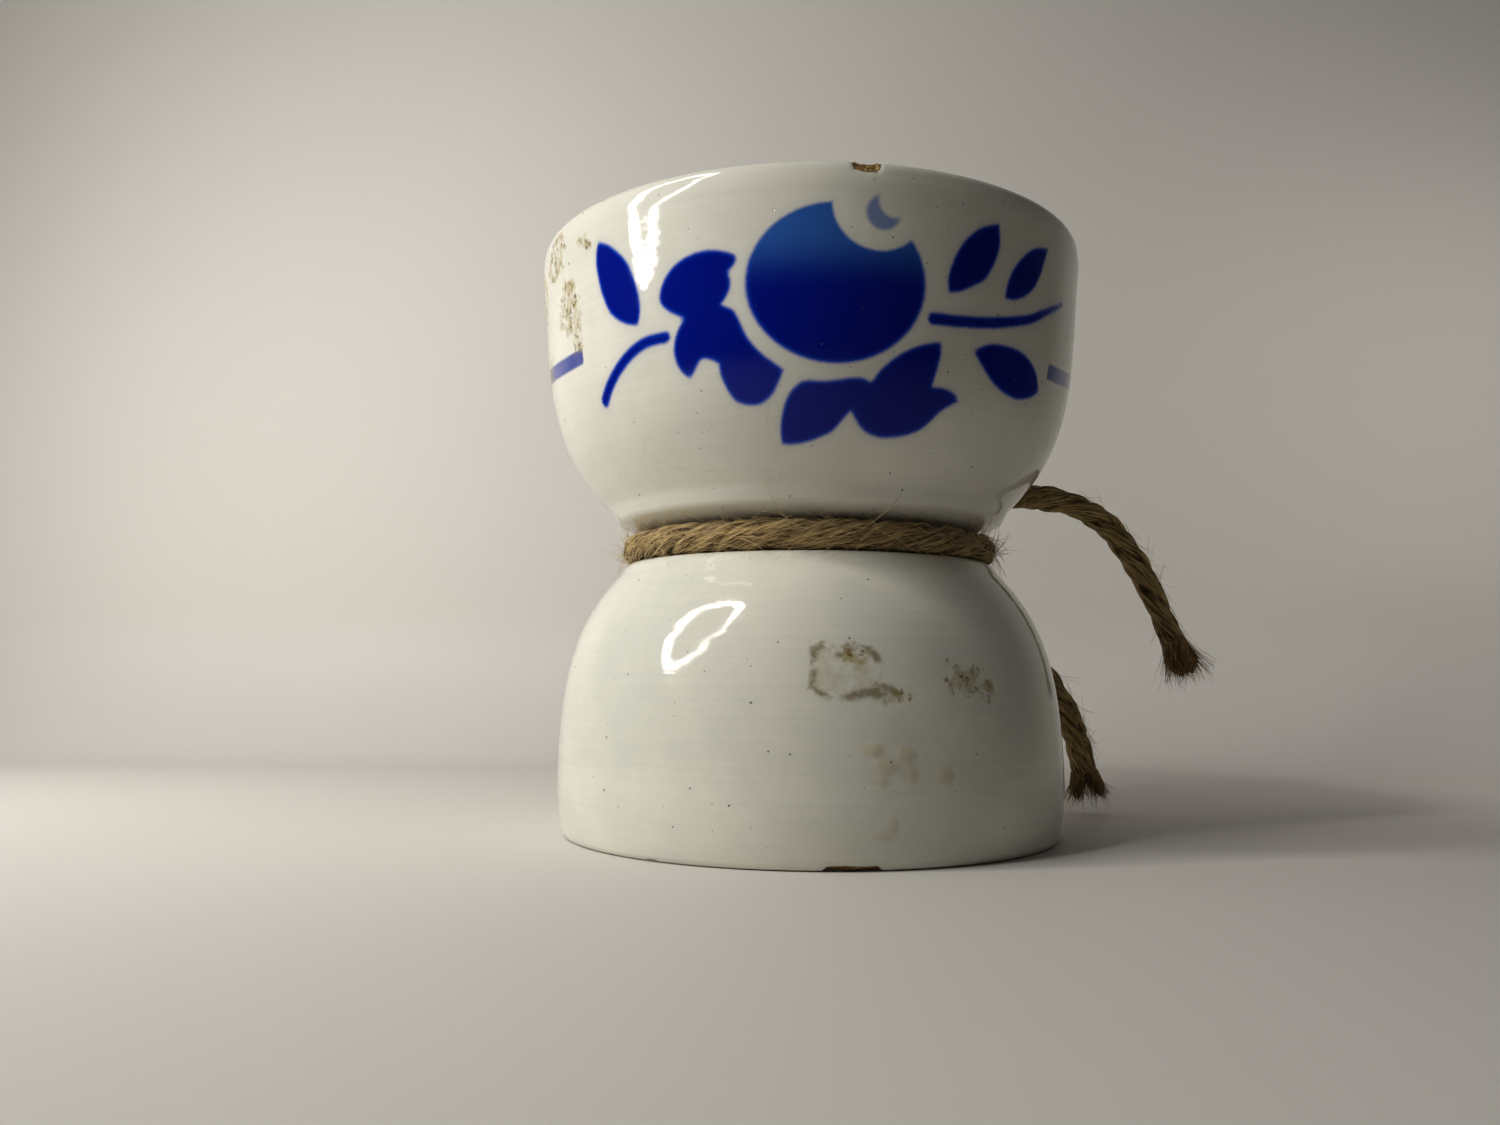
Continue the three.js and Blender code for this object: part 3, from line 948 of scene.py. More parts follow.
FINE_STEP = 0.1
EDGE_SOFTNESS = 0.38
BOWL_COLUMNS = 620
BOWL_ROWS = 150
BOWL_GAP = 0.3
BELLY_STEPS = 64
RING_PITCH = 4.7
FINE_RING_PITCH = 2.9
OVAL_DEPTH = 0.12
THREE_SIDED_DEPTH = 0.07
CRUMB_CELLS = 90
CRUMB_HEIGHT = 0.8
CHIP_DEPTH = 0.45
CHIP_ROUGHNESS = 0.35
BLISTER_HEIGHT = 0.14
SOFTENED_STEPS = 20
INSIDE_RADIUS = 26.0
EDGE_DENSITY = 0.85
INSIDE_DENSITY = 0.3


def toward(angle: float, length: float) -> Points:
    """A vector of a length, at an angle in degrees from the first axis."""
    return length * np.array([math.cos(math.radians(angle)), math.sin(math.radians(angle))])


@dataclass(frozen=True)
class BowlShape:
    """A thrown bowl in its own frame: r from the axis, h from the foot's standing edge to the rim."""

    height: float
    foot_height: float
    shoulder_overhang: float
    shoulder_rise: float
    belly_start: tuple[float, float]
    belly_radius: float
    belly_below_rim: float
    belly_leave: tuple[float, float]
    belly_arrive: tuple[float, float]
    rim_inset: float
    lip_rounding: float
    lip_flat: float
    wall: float = 4.0
    floor: float = 5.0
    foot_radius: float = 35.5
    foot_width: float = 5.5
    well_depth: float = 2.5
    rope_play: float = 0.5

    def outline(self) -> tuple[Points, int, int]:
        """The closed section, from the inner floor's middle round the rim to the foot well's middle.

        The outside wall is one cubic Bezier curve, and the inside is the same curve moved in by the
        wall. Lips and the inner floor's corner are quadratic curves.

        Returns:
            The points (n, 2), and the numbers of the outside wall's first and last point.
        """
        floor_height = self.well_depth + self.floor
        overhang, rise = self.shoulder_overhang, self.shoulder_rise
        shoulder = np.array([self.foot_radius + overhang, self.foot_height + rise])
        start = shoulder + self.belly_start
        widest = np.array([self.belly_radius, self.height - self.belly_below_rim])
        leaving, arriving = toward(*self.belly_leave), toward(*self.belly_arrive)
        belly = bezier([start, start + leaving, widest - arriving, widest], BELLY_STEPS)
        slope = np.gradient(belly, axis=0)
        slope /= np.linalg.norm(slope, axis=1, keepdims=True)
        inside = belly + self.wall * np.stack([-slope[:, 1], slope[:, 0]], axis=1)
        inside = inside[inside[:, 1] > floor_height + self.floor]
        lowest, climb = inside[0], inside[1] - inside[0]
        bend = np.array([lowest[0] - (lowest[1] - floor_height) * climb[0] / climb[1], floor_height])
        floor_edge = np.array([2 * bend[0] - lowest[0], floor_height])
        rim = self.belly_radius - self.rim_inset
        rim_inside = rim - self.wall
        middle, half_flat = (rim + rim_inside) / 2, self.lip_flat / 2
        lip = self.height - self.lip_rounding
        turn_in = (widest[1] + lip) / 2
        hollow = inside[-1]
        to_rim = [
            np.array([[0.0, floor_height]]),
            bezier([floor_edge, bend, lowest], 12),
            inside[1:],
            bezier([hollow, (hollow[0], turn_in), (rim_inside, lip)], 8),
            bezier([(rim_inside, lip), (rim_inside, self.height), (middle - half_flat, self.height)], 8),
            bezier([(middle + half_flat, self.height), (rim, self.height), (rim, lip)], 8),
        ]
        wall = [bezier([(rim, lip), (widest[0], turn_in), widest], 8), belly[::-1], shoulder[None]]
        foot_inside = self.foot_radius - self.foot_width
        foot = np.array([
            [self.foot_radius + self.rope_play, self.foot_height],
            [self.foot_radius, 0.0],
            [foot_inside, 0.0],
            [foot_inside, self.well_depth],
            [0.0, self.well_depth],
        ])
        points = np.vstack([*to_rim, *wall, foot])
        first = sum(len(part) for part in to_rim)
        last = first + sum(len(part) for part in wall) - 1
        moved = np.r_[True, np.linalg.norm(np.diff(points, axis=0), axis=1) > 1e-6]
        return points[moved], int(moved[:first].sum()), int(moved[: last + 1].sum()) - 1

    def rows(self) -> tuple[Points, Points, Points]:
        """The section's points for the mesh: closer together outside and at the edges.

        The outline is taken every FINE_STEP and softened by a Gaussian average along its length, its
        end points repeated beyond its ends, so that fired edges are round.

        Returns:
            Points (rows, 2), their outward normals, and whether each is on the outside wall.
        """
        outline, first, last = self.outline()
        along = lengths_along(outline)
        wanted = np.arange(6 * FINE_STEP, along[-1] - 6 * FINE_STEP, FINE_STEP)
        fine = at_lengths(outline, along, wanted)
        spread = EDGE_SOFTNESS / FINE_STEP
        kernel = np.exp(-0.5 * (np.arange(-SOFTENED_STEPS, SOFTENED_STEPS + 1) / spread) ** 2)
        kernel /= kernel.sum()
        padded = np.pad(fine, ((SOFTENED_STEPS, SOFTENED_STEPS), (0, 0)), mode="edge")
        soft = np.stack([np.convolve(column, kernel, mode="valid") for column in padded.T], axis=1)
        outside = (wanted > along[first] - 0.5) & (wanted < along[last] + 0.3)
        edges = (wanted > along[first] - 8) | outside
        elsewhere = np.where(edges & (soft[:, 0] > INSIDE_RADIUS), EDGE_DENSITY, INSIDE_DENSITY)
        density = np.where(outside, 1.0, elsewhere)
        share = np.cumsum(density)
        picked = np.interp(np.linspace(share[0], share[-1], BOWL_ROWS), share, np.arange(len(share)))
        picked = picked.round().astype(int)
        slope = np.gradient(soft, axis=0)
        slope /= np.linalg.norm(slope, axis=1, keepdims=True)
        normals = np.stack([-slope[:, 1], slope[:, 0]], axis=1)
        return soft[picked], normals[picked], outside[picked]


@dataclass(frozen=True)
class Bowl:
    """One glazed bowl of the pair."""

    name: str
    node: str
    body: Body
    slot: Slot
    shape: BowlShape
    wear: Wear
    foot_z: float
    upright: bool
    throwing_depth: float
    seed: int
    stencil: FlowerStencil | None = None

    def build(self, material: bpy.types.Material) -> bpy.types.Object:
        """Turns the section round the axis and gives it its unevenness, stencil and wear.

        A place is (r sin a, -r cos a, z). Along its own normal it is moved by shallow throwing
        rings, by two and three waves round the bowl, down into chips, and up into blisters.

        Args:
            material: The glaze.

        Returns:
            The bowl.
        """
        section, normals, outside = self.shape.rows()
        theta = np.linspace(-math.pi, math.pi, BOWL_COLUMNS, endpoint=False)[None]
        r = section[:, :1] + 0 * theta
        h = section[:, 1:] + 0 * theta
        sign = 1.0 if self.upright else -1.0
        z = self.foot_z + sign * h
        around = theta + 0 * r
        flat = (around.ravel(), r.ravel(), z.ravel())
        fields = {key: value.reshape(r.shape) for key, value in self.wear.fields(*flat).items()}
        wall = outside[:, None] + 0 * theta
        for key in ("stain", "grime", "blister"):
            fields[key] = np.where(wall, fields[key], FAR_OUTSIDE)
        if self.stencil:
            painted = self.stencil.paint(around.ravel(), z.ravel())
            for key, value in painted.items():
                elsewhere = 0.0 if key == "thinness" else FAR_OUTSIDE
                fields[key] = np.where(wall, value.reshape(r.shape), elsewhere)
        near_foot = (r < self.shape.foot_radius + 2) & (h < self.shape.well_depth)
        fields["bare"] = np.where(near_foot, 0.45 - h, FAR_OUTSIDE)
        moved = self._unevenness(around, h, fields)
        r = r + normals[:, :1] * moved
        z = z + sign * normals[:, 1:] * moved
        rings = np.stack([r * np.sin(theta), -r * np.cos(theta), z], axis=-1)
        values = {key: value[None] for key, value in fields.items()}
        return make_piece(self.name, rings[None], material, self.body, (self.node,), values)

    def _unevenness(self, theta: Points, h: Points, fields: dict[str, Points]) -> Points:
        """How far each place is moved along its normal.

        Args:
            theta: Angle from the front.
            h: Height from the foot's standing edge.
            fields: The depths of the wear, by name.

        Returns:
            Millimetres outwards.
        """
        free = smoothstep(4, 14, h) * smoothstep(0, 3, self.shape.height - h)
        turn = 2 * math.pi * h
        rings = np.sin(turn / RING_PITCH + np.sin(theta)) + 0.6 * np.sin(turn / FINE_RING_PITCH + 1)
        oval = OVAL_DEPTH * np.sin(2 * theta + self.seed)
        three_sided = THREE_SIDED_DEPTH * np.sin(3 * theta + 2.2 * self.seed)
        around = (theta / math.pi + 1) * CRUMB_CELLS
        crumbs = lattice_noise(around, h / CRUMB_HEIGHT, 2 * CRUMB_CELLS, self.seed)
        chipped = smoothstep(0.0, 0.9, fields["chip"] + 0.7 * (crumbs - 0.5))
        blistered = smoothstep(0.0, 0.8, fields["blister"] + 0.8 * (crumbs - 0.4))
        return (
            free * (self.throwing_depth * rings + oval + three_sided)
            - chipped * (CHIP_DEPTH + CHIP_ROUGHNESS * crumbs)
            + blistered * BLISTER_HEIGHT
        )


UPPER_SHAPE = BowlShape(
    height=66.15, foot_height=2.95, shoulder_overhang=8.0, shoulder_rise=2.8, belly_start=(1.6, 3.1),
    belly_radius=61.3, belly_below_rim=4.75, belly_leave=(42.4, 20.7), belly_arrive=(84.5, 23.9),
    rim_inset=0.2, lip_rounding=1.7, lip_flat=0.0,
)
LOWER_SHAPE = BowlShape(
    height=62.35, foot_height=3.35, shoulder_overhang=5.8, shoulder_rise=0.0, belly_start=(1.7, 2.65),
    belly_radius=56.0, belly_below_rim=11.95, belly_leave=(45.0, 14.3), belly_arrive=(89.4, 21.1),
    rim_inset=1.1, lip_rounding=1.2, lip_flat=1.6,
)
UPPER_WEAR = Wear(
    radius=60.0,
    grime=(
        (-49.5, 121, 2, 2.6), (-64, 122, 6, 4.5), (-58, 110, 5, 7), (-82, 115, 9, 11), (-75, 100, 4, 3),
        (-55, 102, 2.5, 4), (10.5, 127.5, 3.2, 1.3),
        (140, 118, 6, 4), (-150, 108, 4, 7), (95, 84, 3, 2),
    ),
    chips=(
        Chip(10.5, 128.3, 61.2, 0.9, 2.0),
        Chip(-44, 129.0, 60.6, 0.3, 0.9),
        Chip(27, 129.0, 60.6, 0.2, 0.7),
        Chip(-61, 129.0, 60.6, 0.6, 0.9),
        Chip(112, 128.9, 60.3, 1.2, 1.4),
        Chip(-128, 129.0, 58.5, 0.5, 1.1),
    ),
)
LOWER_WEAR = Wear(
    radius=55.0,
    outlines=(
        (
            ((0.8, 39.5), (3, 40.2), (6, 39), (9, 40), (12.5, 38.5), (13.8, 36), (13.5, 33.5)),
            ((17.8, 30.8), (15.5, 30.2), (11, 31.5), (7, 30.6), (3, 31.2), (0.6, 32.5), (1.2, 36)),
        ),
    ),
    grime=(
        (8.3, 38, 2.5, 1.8), (31, 33.6, 5, 2.9), (36, 32, 2.8, 2.4), (29, 36.2, 2.4, 1.4), (-104, 28, 7, 5),
        (120, 22, 5, 8), (16.5, 31.4, 1.6, 0.8),
    ),
    blisters=(
        (11.5, 21.5, 2.2, 1.3), (14, 18.5, 2.5, 1.6), (17.5, 20.5, 2.0, 1.6), (18.5, 17, 1.6, 1.4),
        (25.5, 16.7, 1.9, 1.8), (13, 15.8, 1.5, 0.8), (-90, 20, 4, 2), (13.6, 6.4, 1.7, 0.8),
        (15.3, 7.8, 0.8, 1.8),
    ),
    chips=(
        Chip(8, -0.1, 54.6, 4.4, 1.15),
        Chip(-31, 0.0, 54.8, 0.8, 0.7),
        Chip(95, 0.0, 54.6, 2.5, 1.2),
        Chip(35, 0.0, 54.8, 1.5, 0.6),
    ),
)


# ---- Rope ----------------------------------------------------------------------------------------

GAP = 0.3
LAY_SLACK = 0.05
LONG_TAIL = (
    (2.7, 0.3, 5.6), (6.3, 0.6, 8.4), (10.5, 1, 10.1), (15.4, 1.5, 10.9), (20.9, 1.9, 11.2),
    (27.4, 1.9, 10.3), (33.8, 1.9, 8.2), (39.6, 1.9, 4.5), (44.4, 1.9, -0.9), (48.6, 1.9, -7.4),
    (52, 1.9, -14.6), (55, 1.9, -21.6), (57.3, 1.9, -27.2),
)
SHORT_TAIL = (
    (1.8, 0.2, -5.6), (6.2, 0, -8.4), (12, -0.6, -10.9), (18, -1.4, -14.4), (23.2, -2.2, -19.4),
    (27, -3.1, -25.8), (29.6, -3.8, -32.6), (31.2, -4.4, -38.8), (31.9, -4.7, -43.3),
)


class Stretch(Enum):
    """The rope's stretches in order, from one free end to the other."""

    LONG_TAIL = 0
    LONG_HALF = 1
    TURN = 2
    SHORT_HALF = 3
    SHORT_TAIL = 4


@dataclass
class RopeLine:
    """The rope's middle line, from the long end through the knot, round the waist and out again."""

    diameter: float = 6.0
    waist_z: float = 62.3
    turn_radius: float = 39.0
    knot_angle: float = 48.0
    take_off: float = 36.0
    knot_radius: float = 46.73
    station_step: float = 0.25
    exits: dict[Stretch, Points] = field(default_factory=dict)

    def __post_init__(self) -> None:
        """Joins the stretches and carries a pair of directions along them without twist.

        Each normal is the one before it, less its share along the next tangent, made one long.
        """
        halves = {side: smooth_line(self.knot_points(side)) for side in (1, -1)}
        angles = np.radians(self.knot_angle + np.linspace(self.take_off, 360 - self.take_off, 400))
        turn = np.stack([np.cos(angles), np.sin(angles), 0 * angles], axis=1) * self.turn_radius
        turn[:, 2] = self.waist_z
        parts = [
            self.tail(1, LONG_TAIL, Stretch.LONG_TAIL)[::-1], halves[1][::-1], turn, halves[-1],
            self.tail(-1, SHORT_TAIL, Stretch.SHORT_TAIL),
        ]
        joined = np.vstack(parts)
        along = lengths_along(joined)
        ends = np.cumsum([len(part) for part in parts])
        joints = [(along[end - 1] + along[end]) / 2 for end in ends[:-1]]
        bounds = [0.0, *joints, along[-1]]
        self.spans = {stretch: (bounds[stretch.value], bounds[stretch.value + 1]) for stretch in Stretch}
        self.along = np.arange(0.0, along[-1] + self.station_step / 2, self.station_step)
        self.points = at_lengths(joined, along, self.along)
        self.tangents = np.gradient(self.points, axis=0)
        self.tangents /= np.linalg.norm(self.tangents, axis=1, keepdims=True)
        self.normals = np.zeros_like(self.points)
        carried = np.cross(self.tangents[0], (0.0, 1.0, 0.0))
        for station, tangent in enumerate(self.tangents):
            carried = carried - tangent * (carried @ tangent)
            carried /= np.linalg.norm(carried)
            self.normals[station] = carried

    def knot_points(self, side: int) -> Points:
        """Points of one half of the knot, which goes round the other half and loops back outside.

        Args:
            side: 1 for the half that ends in the long end, and -1 for the same half turned over.

        Returns:
            Points (n, 3).
        """
        radius = self.diameter / 2
        twist = radius + LAY_SLACK
        angle = math.radians(self.take_off)
        leave = self.turn_radius * np.array([math.cos(angle), math.sin(angle)])
        tangent = np.array([math.sin(angle), -math.cos(angle)])
        straight = (leave[1] - 2 * radius) / math.cos(angle)
        approach = leave + tangent * (GAP + np.array([[0.0], [0.35], [0.7]]) * straight)
        rows = [(*place, 0.0) for place in approach]
        for phase in math.pi * (1 - np.arange(5) / 4):
            aside = 2 * radius * (2 * phase / math.pi - 1)
            rows.append((self.knot_radius + twist * math.cos(phase), aside, twist * math.sin(phase)))
        second = self.knot_radius + twist + 1.6 * radius
        rows += [
            (second - 2.6, -3.1 * radius, -0.7 * radius),
            (second, -2.3 * radius, -1.5 * radius),
            (second + 0.2, 0.0, -1.2 * radius),
            (second + 2, 1.5 * radius, 0.0),
            (second + 3.6, 0.8 * radius, 1.6 * radius),
            (second + 3.4, 0.0, 3 * radius),
        ]
        out, beside, up = np.array(rows).T
        knot = math.radians(self.knot_angle)
        outward = np.array([math.cos(knot), math.sin(knot), 0.0])
        around = np.array([-math.sin(knot), math.cos(knot), 0.0])
        height = np.array([0.0, 0.0, 1.0])
        return (
            out[:, None] * outward
            + side * beside[:, None] * around
            + (self.waist_z + side * up[:, None]) * height
        )

    def tail(self, side: int, rows: tuple, stretch: Stretch) -> Points:
        """A free end's line: straight out of the knot, then through its own points.

        Args:
            side: 1 for the long end, and -1 for the short one.
            rows: Its points, from where it leaves the knot.
            stretch: The stretch of rope.

        Returns:
            Points (n, 3).
        """
        before, leaving = self.knot_points(side)[-2:]
        heading = (leaving - before) / np.linalg.norm(leaving - before)
        self.exits[stretch] = leaving
        straight = [leaving + heading * GAP, leaving + heading * (GAP + self.diameter / 3)]
        return smooth_line(np.vstack([straight, leaving + np.array(rows)]))

    def at(self, wanted: Points) -> tuple[Points, Points, Points, Points]:
        """The line and the directions that go along with it.

        Args:
            wanted: Distances along the line, (n,).

        Returns:
            Its points, its tangents and two directions across it, each (n, 3).
        """
        points = at_lengths(self.points, self.along, wanted)
        tangents = at_lengths(self.tangents, self.along, wanted)
        normals = at_lengths(self.normals, self.along, wanted)
        tangents /= np.linalg.norm(tangents, axis=1, keepdims=True)
        normals /= np.linalg.norm(normals, axis=1, keepdims=True)
        return points, tangents, normals, np.cross(tangents, normals)


@dataclass
class Rope:
    """Two-strand jute rope: its lay, its strands and how hairy it is."""

    line: RopeLine
    lay_length: float = 24.0
    strand_offset: float = 1.15
    strand_depth: float = 1.75
    strand_breadth: float = 2.6
    unevenness: float = 0.2
    wander: float = 0.9
    sides: int = 96
    row_step: float = 0.5
    fine_ridges: float = 0.6
    fine_count: int = 84
    coarse_ridges: float = 0.6
    coarse_count: int = 26
    hair_radius: float = 0.065
    hair_shortest: float = 1.6

    def surface_radius(self, phi: Points, along: Points) -> Points:
        """Distance from the middle line to the surface.

        Each strand is an ellipse off the middle, and the surface is the further of the two where a
        ray leaves them: t = (B + sqrt(B^2 - AC)) / A. The pair turns once in a lay length, a little
        unevenly. Noise drawn out along the rope raises fibres.

        Args:
            phi: Angle round the rope.
            along: Distance along it.

        Returns:
            The radius in millimetres.
        """
        wander = self.wander * (lattice_noise(0 * along, along / 11, 4, 6) - 0.5)
        turn = phi + 2 * math.pi * along / self.lay_length + wander
        uneven = 1 + self.unevenness * (lattice_noise(0 * along, along / 7, 4, 5) - 0.5)
        depth, breadth = self.strand_depth * uneven, self.strand_breadth / uneven
        radii = []
        for strand in (0.0, math.pi):
            cos, sin = np.cos(turn - strand), np.sin(turn - strand)
            a = (cos / depth) ** 2 + (sin / breadth) ** 2
            b = self.strand_offset * cos / depth**2
            c = (self.strand_offset / depth) ** 2 - 1
            radii.append((b + np.sqrt(np.maximum(b * b - a * c, 0))) / a)
        laid = np.maximum(*radii)
        round_share = phi / (2 * math.pi) + 0.5 * along / self.lay_length
        fine = lattice_noise(round_share * self.fine_count, along / 5.0, self.fine_count, 11) - 0.5
        coarse = lattice_noise(round_share * self.coarse_count, along / 9.0, self.coarse_count, 12) - 0.5
        return laid + self.fine_ridges * fine + self.coarse_ridges * coarse

    def rings(self, start: float, end: float) -> tuple[Points, dict[str, Points]]:
        """Rings of the surface, each a turn of phi at its own distance along the line.

        Args:
            start: The first ring's distance.
            end: The last ring's distance.

        Returns:
            The rings (ring, place in the ring, 3), and their attributes by name.
        """
        rows = int(abs(end - start) / self.row_step) + 2
        wanted = np.linspace(start, end, rows)
        points, _, across, beside = self.line.at(wanted)
        phi = np.linspace(0, 2 * math.pi, self.sides, endpoint=False)[None]
        radius = self.surface_radius(phi + 0 * wanted[:, None], wanted[:, None] + 0 * phi)
        out = np.cos(phi)[..., None] * across[:, None] + np.sin(phi)[..., None] * beside[:, None]
        rings = points[:, None] + radius[..., None] * out
        return rings, self.place_values(phi, wanted[:, None], radius)

    def place_values(self, phi: Points, along: Points, radius: Points) -> dict[str, Points]:
        """The unrolled place on the rope, without a seam, and painted shade from its depth between strands.

        Args:
            phi: Angle round the rope.
            along: Distance along it.
            radius: Distance from its middle line to the surface.

        Returns:
            The attributes by name.
        """
        half = self.line.diameter / 2
        untwisted = phi + math.pi * along / self.lay_length
        unrolled = [half * np.cos(untwisted), half * np.sin(untwisted), along + 0 * phi]
        place = np.stack(unrolled, axis=-1)
        return {"rope_place": place, "painted_shade": 1 - smoothstep(1.75, 2.6, radius)}

    def stretch_piece(
        self, name: str, stretches: list[Stretch], nodes: tuple[str, ...], material: bpy.types.Material
    ) -> bpy.types.Object:
        """Makes stretches of equal length one piece that stands for a CAD node.

        Args:
            name: The piece's name.
            stretches: The stretches of rope.
            nodes: The CAD nodes that it stands for.
            material: Laid jute.

        Returns:
            The piece.
        """
        made = [self.rings(*self.line.spans[stretch]) for stretch in stretches]
        rings = np.stack([rings for rings, _ in made])
        values = {key: np.stack([value[key] for _, value in made]) for key in made[0][1]}
        return make_piece(name, rings, material, Body.BINDING, nodes, values)

    def hairs(
        self, name: str, stretches: list[Stretch], count: int, longest: float, seed: int,
        material: bpy.types.Material,
    ) -> bpy.types.Object:
        """Loose fibres that start in the rope's surface and run mostly along it.

        A hair goes from its root along p(t) = L (t along + lift t outward + curl t^2 sideways). Its
        length L is mostly short, from the cube of a random value.

        Args:
            name: The piece's name.
            stretches: Where the hairs grow.
            count: Hairs in all.
            longest: The longest hair's length in millimetres.
            seed: Seed of their places.
            material: Loose jute.

        Returns:
            The piece.
        """
        rng = np.random.default_rng(seed)
        chosen = rng.integers(0, len(stretches), count)
        spans = np.array([self.line.spans[stretch] for stretch in stretches])[chosen]
        station = spans[:, 0] + (spans[:, 1] - spans[:, 0]) * rng.uniform(0.01, 0.99, count)
        phi = rng.uniform(0, 2 * math.pi, count)
        points, tangents, across, beside = self.line.at(station)
        out = np.cos(phi)[:, None] * across + np.sin(phi)[:, None] * beside
        axis_side = points * (1.0, 1.0, 0.0)
        axis_side /= np.linalg.norm(axis_side, axis=1, keepdims=True)
        hidden = np.einsum("ij,ij->i", out, axis_side) < 0.1
        out = np.where(hidden[:, None], out * 0.35 + axis_side, out)
        out /= np.linalg.norm(out, axis=1, keepdims=True)
        radius = self.surface_radius(phi, station)
        root = points + out * (radius[:, None] - 0.25)
        length = self.hair_shortest + (longest - self.hair_shortest) * rng.random(count) ** 3
        way = np.where(rng.random(count) < 0.5, -1.0, 1.0)[:, None]
        lift = 0.02 + 0.42 * rng.random((count, 1)) ** 4
        sideways = np.cross(tangents, out)
        curl = rng.normal(0, 0.35, (count, 1))
        droop = rng.normal(0, 0.25, (count, 1))
        t = np.linspace(0, 1, 7)[None, :, None]
        lines = root[:, None] + length[:, None, None] * (
            t * (way * tangents)[:, None]
            + t * (lift * out)[:, None]
            + t**2 * (curl * sideways + droop * out * lift)[:, None]
        )
        return self.fibre_piece(name, lines, rng, material)

    def fibre_piece(
        self, name: str, lines: Points, rng: np.random.Generator, material: bpy.types.Material
    ) -> bpy.types.Object:
        """Three-sided fibres along lines, thinning to half at their tips.

        Args:
            name: The piece's name.
            lines: Middle lines (fibre, point, 3).
            rng: The random generator.
            material: Loose jute.

        Returns:
            The piece.
        """
        count, steps, _ = lines.shape
        tangent = np.gradient(lines, axis=1)
        tangent /= np.linalg.norm(tangent, axis=2, keepdims=True) + 1e-9
        helper = rng.normal(size=(count, 1, 3))
        across = np.cross(tangent, helper)
        across /= np.linalg.norm(across, axis=2, keepdims=True)
        beside = np.cross(tangent, across)
        thick = self.hair_radius * rng.uniform(0.6, 1.25, (count, 1)) * np.linspace(1.0, 0.5, steps)[None]
        corner = np.radians([0, 120, 240])
        rings = lines[:, :, None] + thick[..., None, None] * (
            np.cos(corner)[:, None] * across[:, :, None] + np.sin(corner)[:, None] * beside[:, :, None]
        )
        own = rng.uniform(-40, 40, (count, 1, 1, 3))
        drawn_out = np.linspace(0, 6, steps)[None, :, None, None] * (0, 0, 1)
        values = {
            "rope_place": own + drawn_out + np.zeros(rings.shape),
            "painted_shade": np.zeros(rings.shape[:3]),
        }
        return make_piece(name, rings, material, Body.BINDING, (), values)


@dataclass(frozen=True)
class Brush:
    """A frayed end: a loosened core with ridges, and fibres that spread from it."""

    name: str
    node: str
    stretch: Stretch
    length: float
    root_radius: float
    tip_radius: float
    aside: float
    lean: float
    fibres: int
    seed: int

    def build(self, rope: Rope, material: bpy.types.Material) -> list[bpy.types.Object]:
        """Makes the core and the fibres.

        The core's ring at share t has the rope's own radius turning into root + (tip - root) t, and
        its end is ragged: each line of it runs on by its own random length. A fibre leaves from a
        random place in the root's disc, and spreads with its distance from the middle.

        Args:
            rope: The rope that it ends.
            material: Loose jute.

        Returns:
            The two pieces.
        """
        first, last = rope.line.spans[self.stretch]
        end, inner = (first, first + 0.6) if self.stretch is Stretch.LONG_TAIL else (last, last - 0.6)
        tip, _, across, beside = rope.line.at(np.array([end]))
        before, *_ = rope.line.at(np.array([inner]))
        heading = (tip - before)[0]
        heading /= np.linalg.norm(heading)
        sideways = np.cross((0.0, 1.0, 0.0), heading)
        sideways /= np.linalg.norm(sideways)
        root = tip[0] + sideways * self.aside * 0.8 - heading * 0.6
        direction = heading + sideways * self.lean
        direction /= np.linalg.norm(direction)
        rng = np.random.default_rng(self.seed)
        t = np.linspace(0, 1, 20)[:, None]
        phi = np.linspace(0, 2 * math.pi, 72, endpoint=False)[None]
        tufts = lattice_noise(phi / (2 * math.pi) * 11, 0.4 + 0 * phi, 11, self.seed) - 0.5
        strands = lattice_noise(phi / (2 * math.pi) * 36 + 0 * t, t * 2.2, 36, self.seed + 1) - 0.5
        radius = self.root_radius + (self.tip_radius - self.root_radius) * t**1.3
        rounded = np.sqrt(1 - 0.95 * smoothstep(0.5, 1, t))
        radius = radius * (1 + (0.3 * tufts + 0.45 * strands) * (0.3 + t)) * rounded
        reach = self.length * 0.93 * t * (1 + 0.2 * tufts + 0.2 * strands)
        rings = (
            root
            + reach[..., None] * direction
            + (radius * np.cos(phi))[..., None] * across[0]
            + (radius * np.sin(phi))[..., None] * beside[0]
        )
        values = rope.place_values(phi, end + reach, radius)
        # Painted shade on the core, growing towards its tip.
        painted_shade = 0.35 * t[None] ** 4 + 0 * rings[None, ..., 0]
        core = make_piece(
            self.name, rings[None], material, Body.BINDING, (self.node,),
            {"rope_place": values["rope_place"][None], "painted_shade": painted_shade},
        )
        angle, share = rng.uniform(0, 2 * math.pi, self.fibres), np.sqrt(rng.random(self.fibres))
        offset = share[:, None] * (np.cos(angle)[:, None] * across + np.sin(angle)[:, None] * beside)
        spread = (self.tip_radius - self.root_radius * 0.7) / self.length
        going = direction + offset * spread * rng.uniform(0.3, 1.5, (self.fibres, 1))
        going += rng.normal(0, 0.07, (self.fibres, 3))
        bend = rng.normal(0, 0.16, (self.fibres, 3))
        length = self.length * rng.uniform(0.72, 1.05, (self.fibres, 1, 1))
        s = np.linspace(0, 1, 7)[None, :, None]
        start = root + offset * self.root_radius * 0.9
        lines = start[:, None] + length * (s * going[:, None] + s**2 * bend[:, None])
        loose = rope.fibre_piece(f"{self.name}_fibres", lines, rng, material)
        return [core, loose]


# ---- Studio --------------------------------------------------------------------------------------


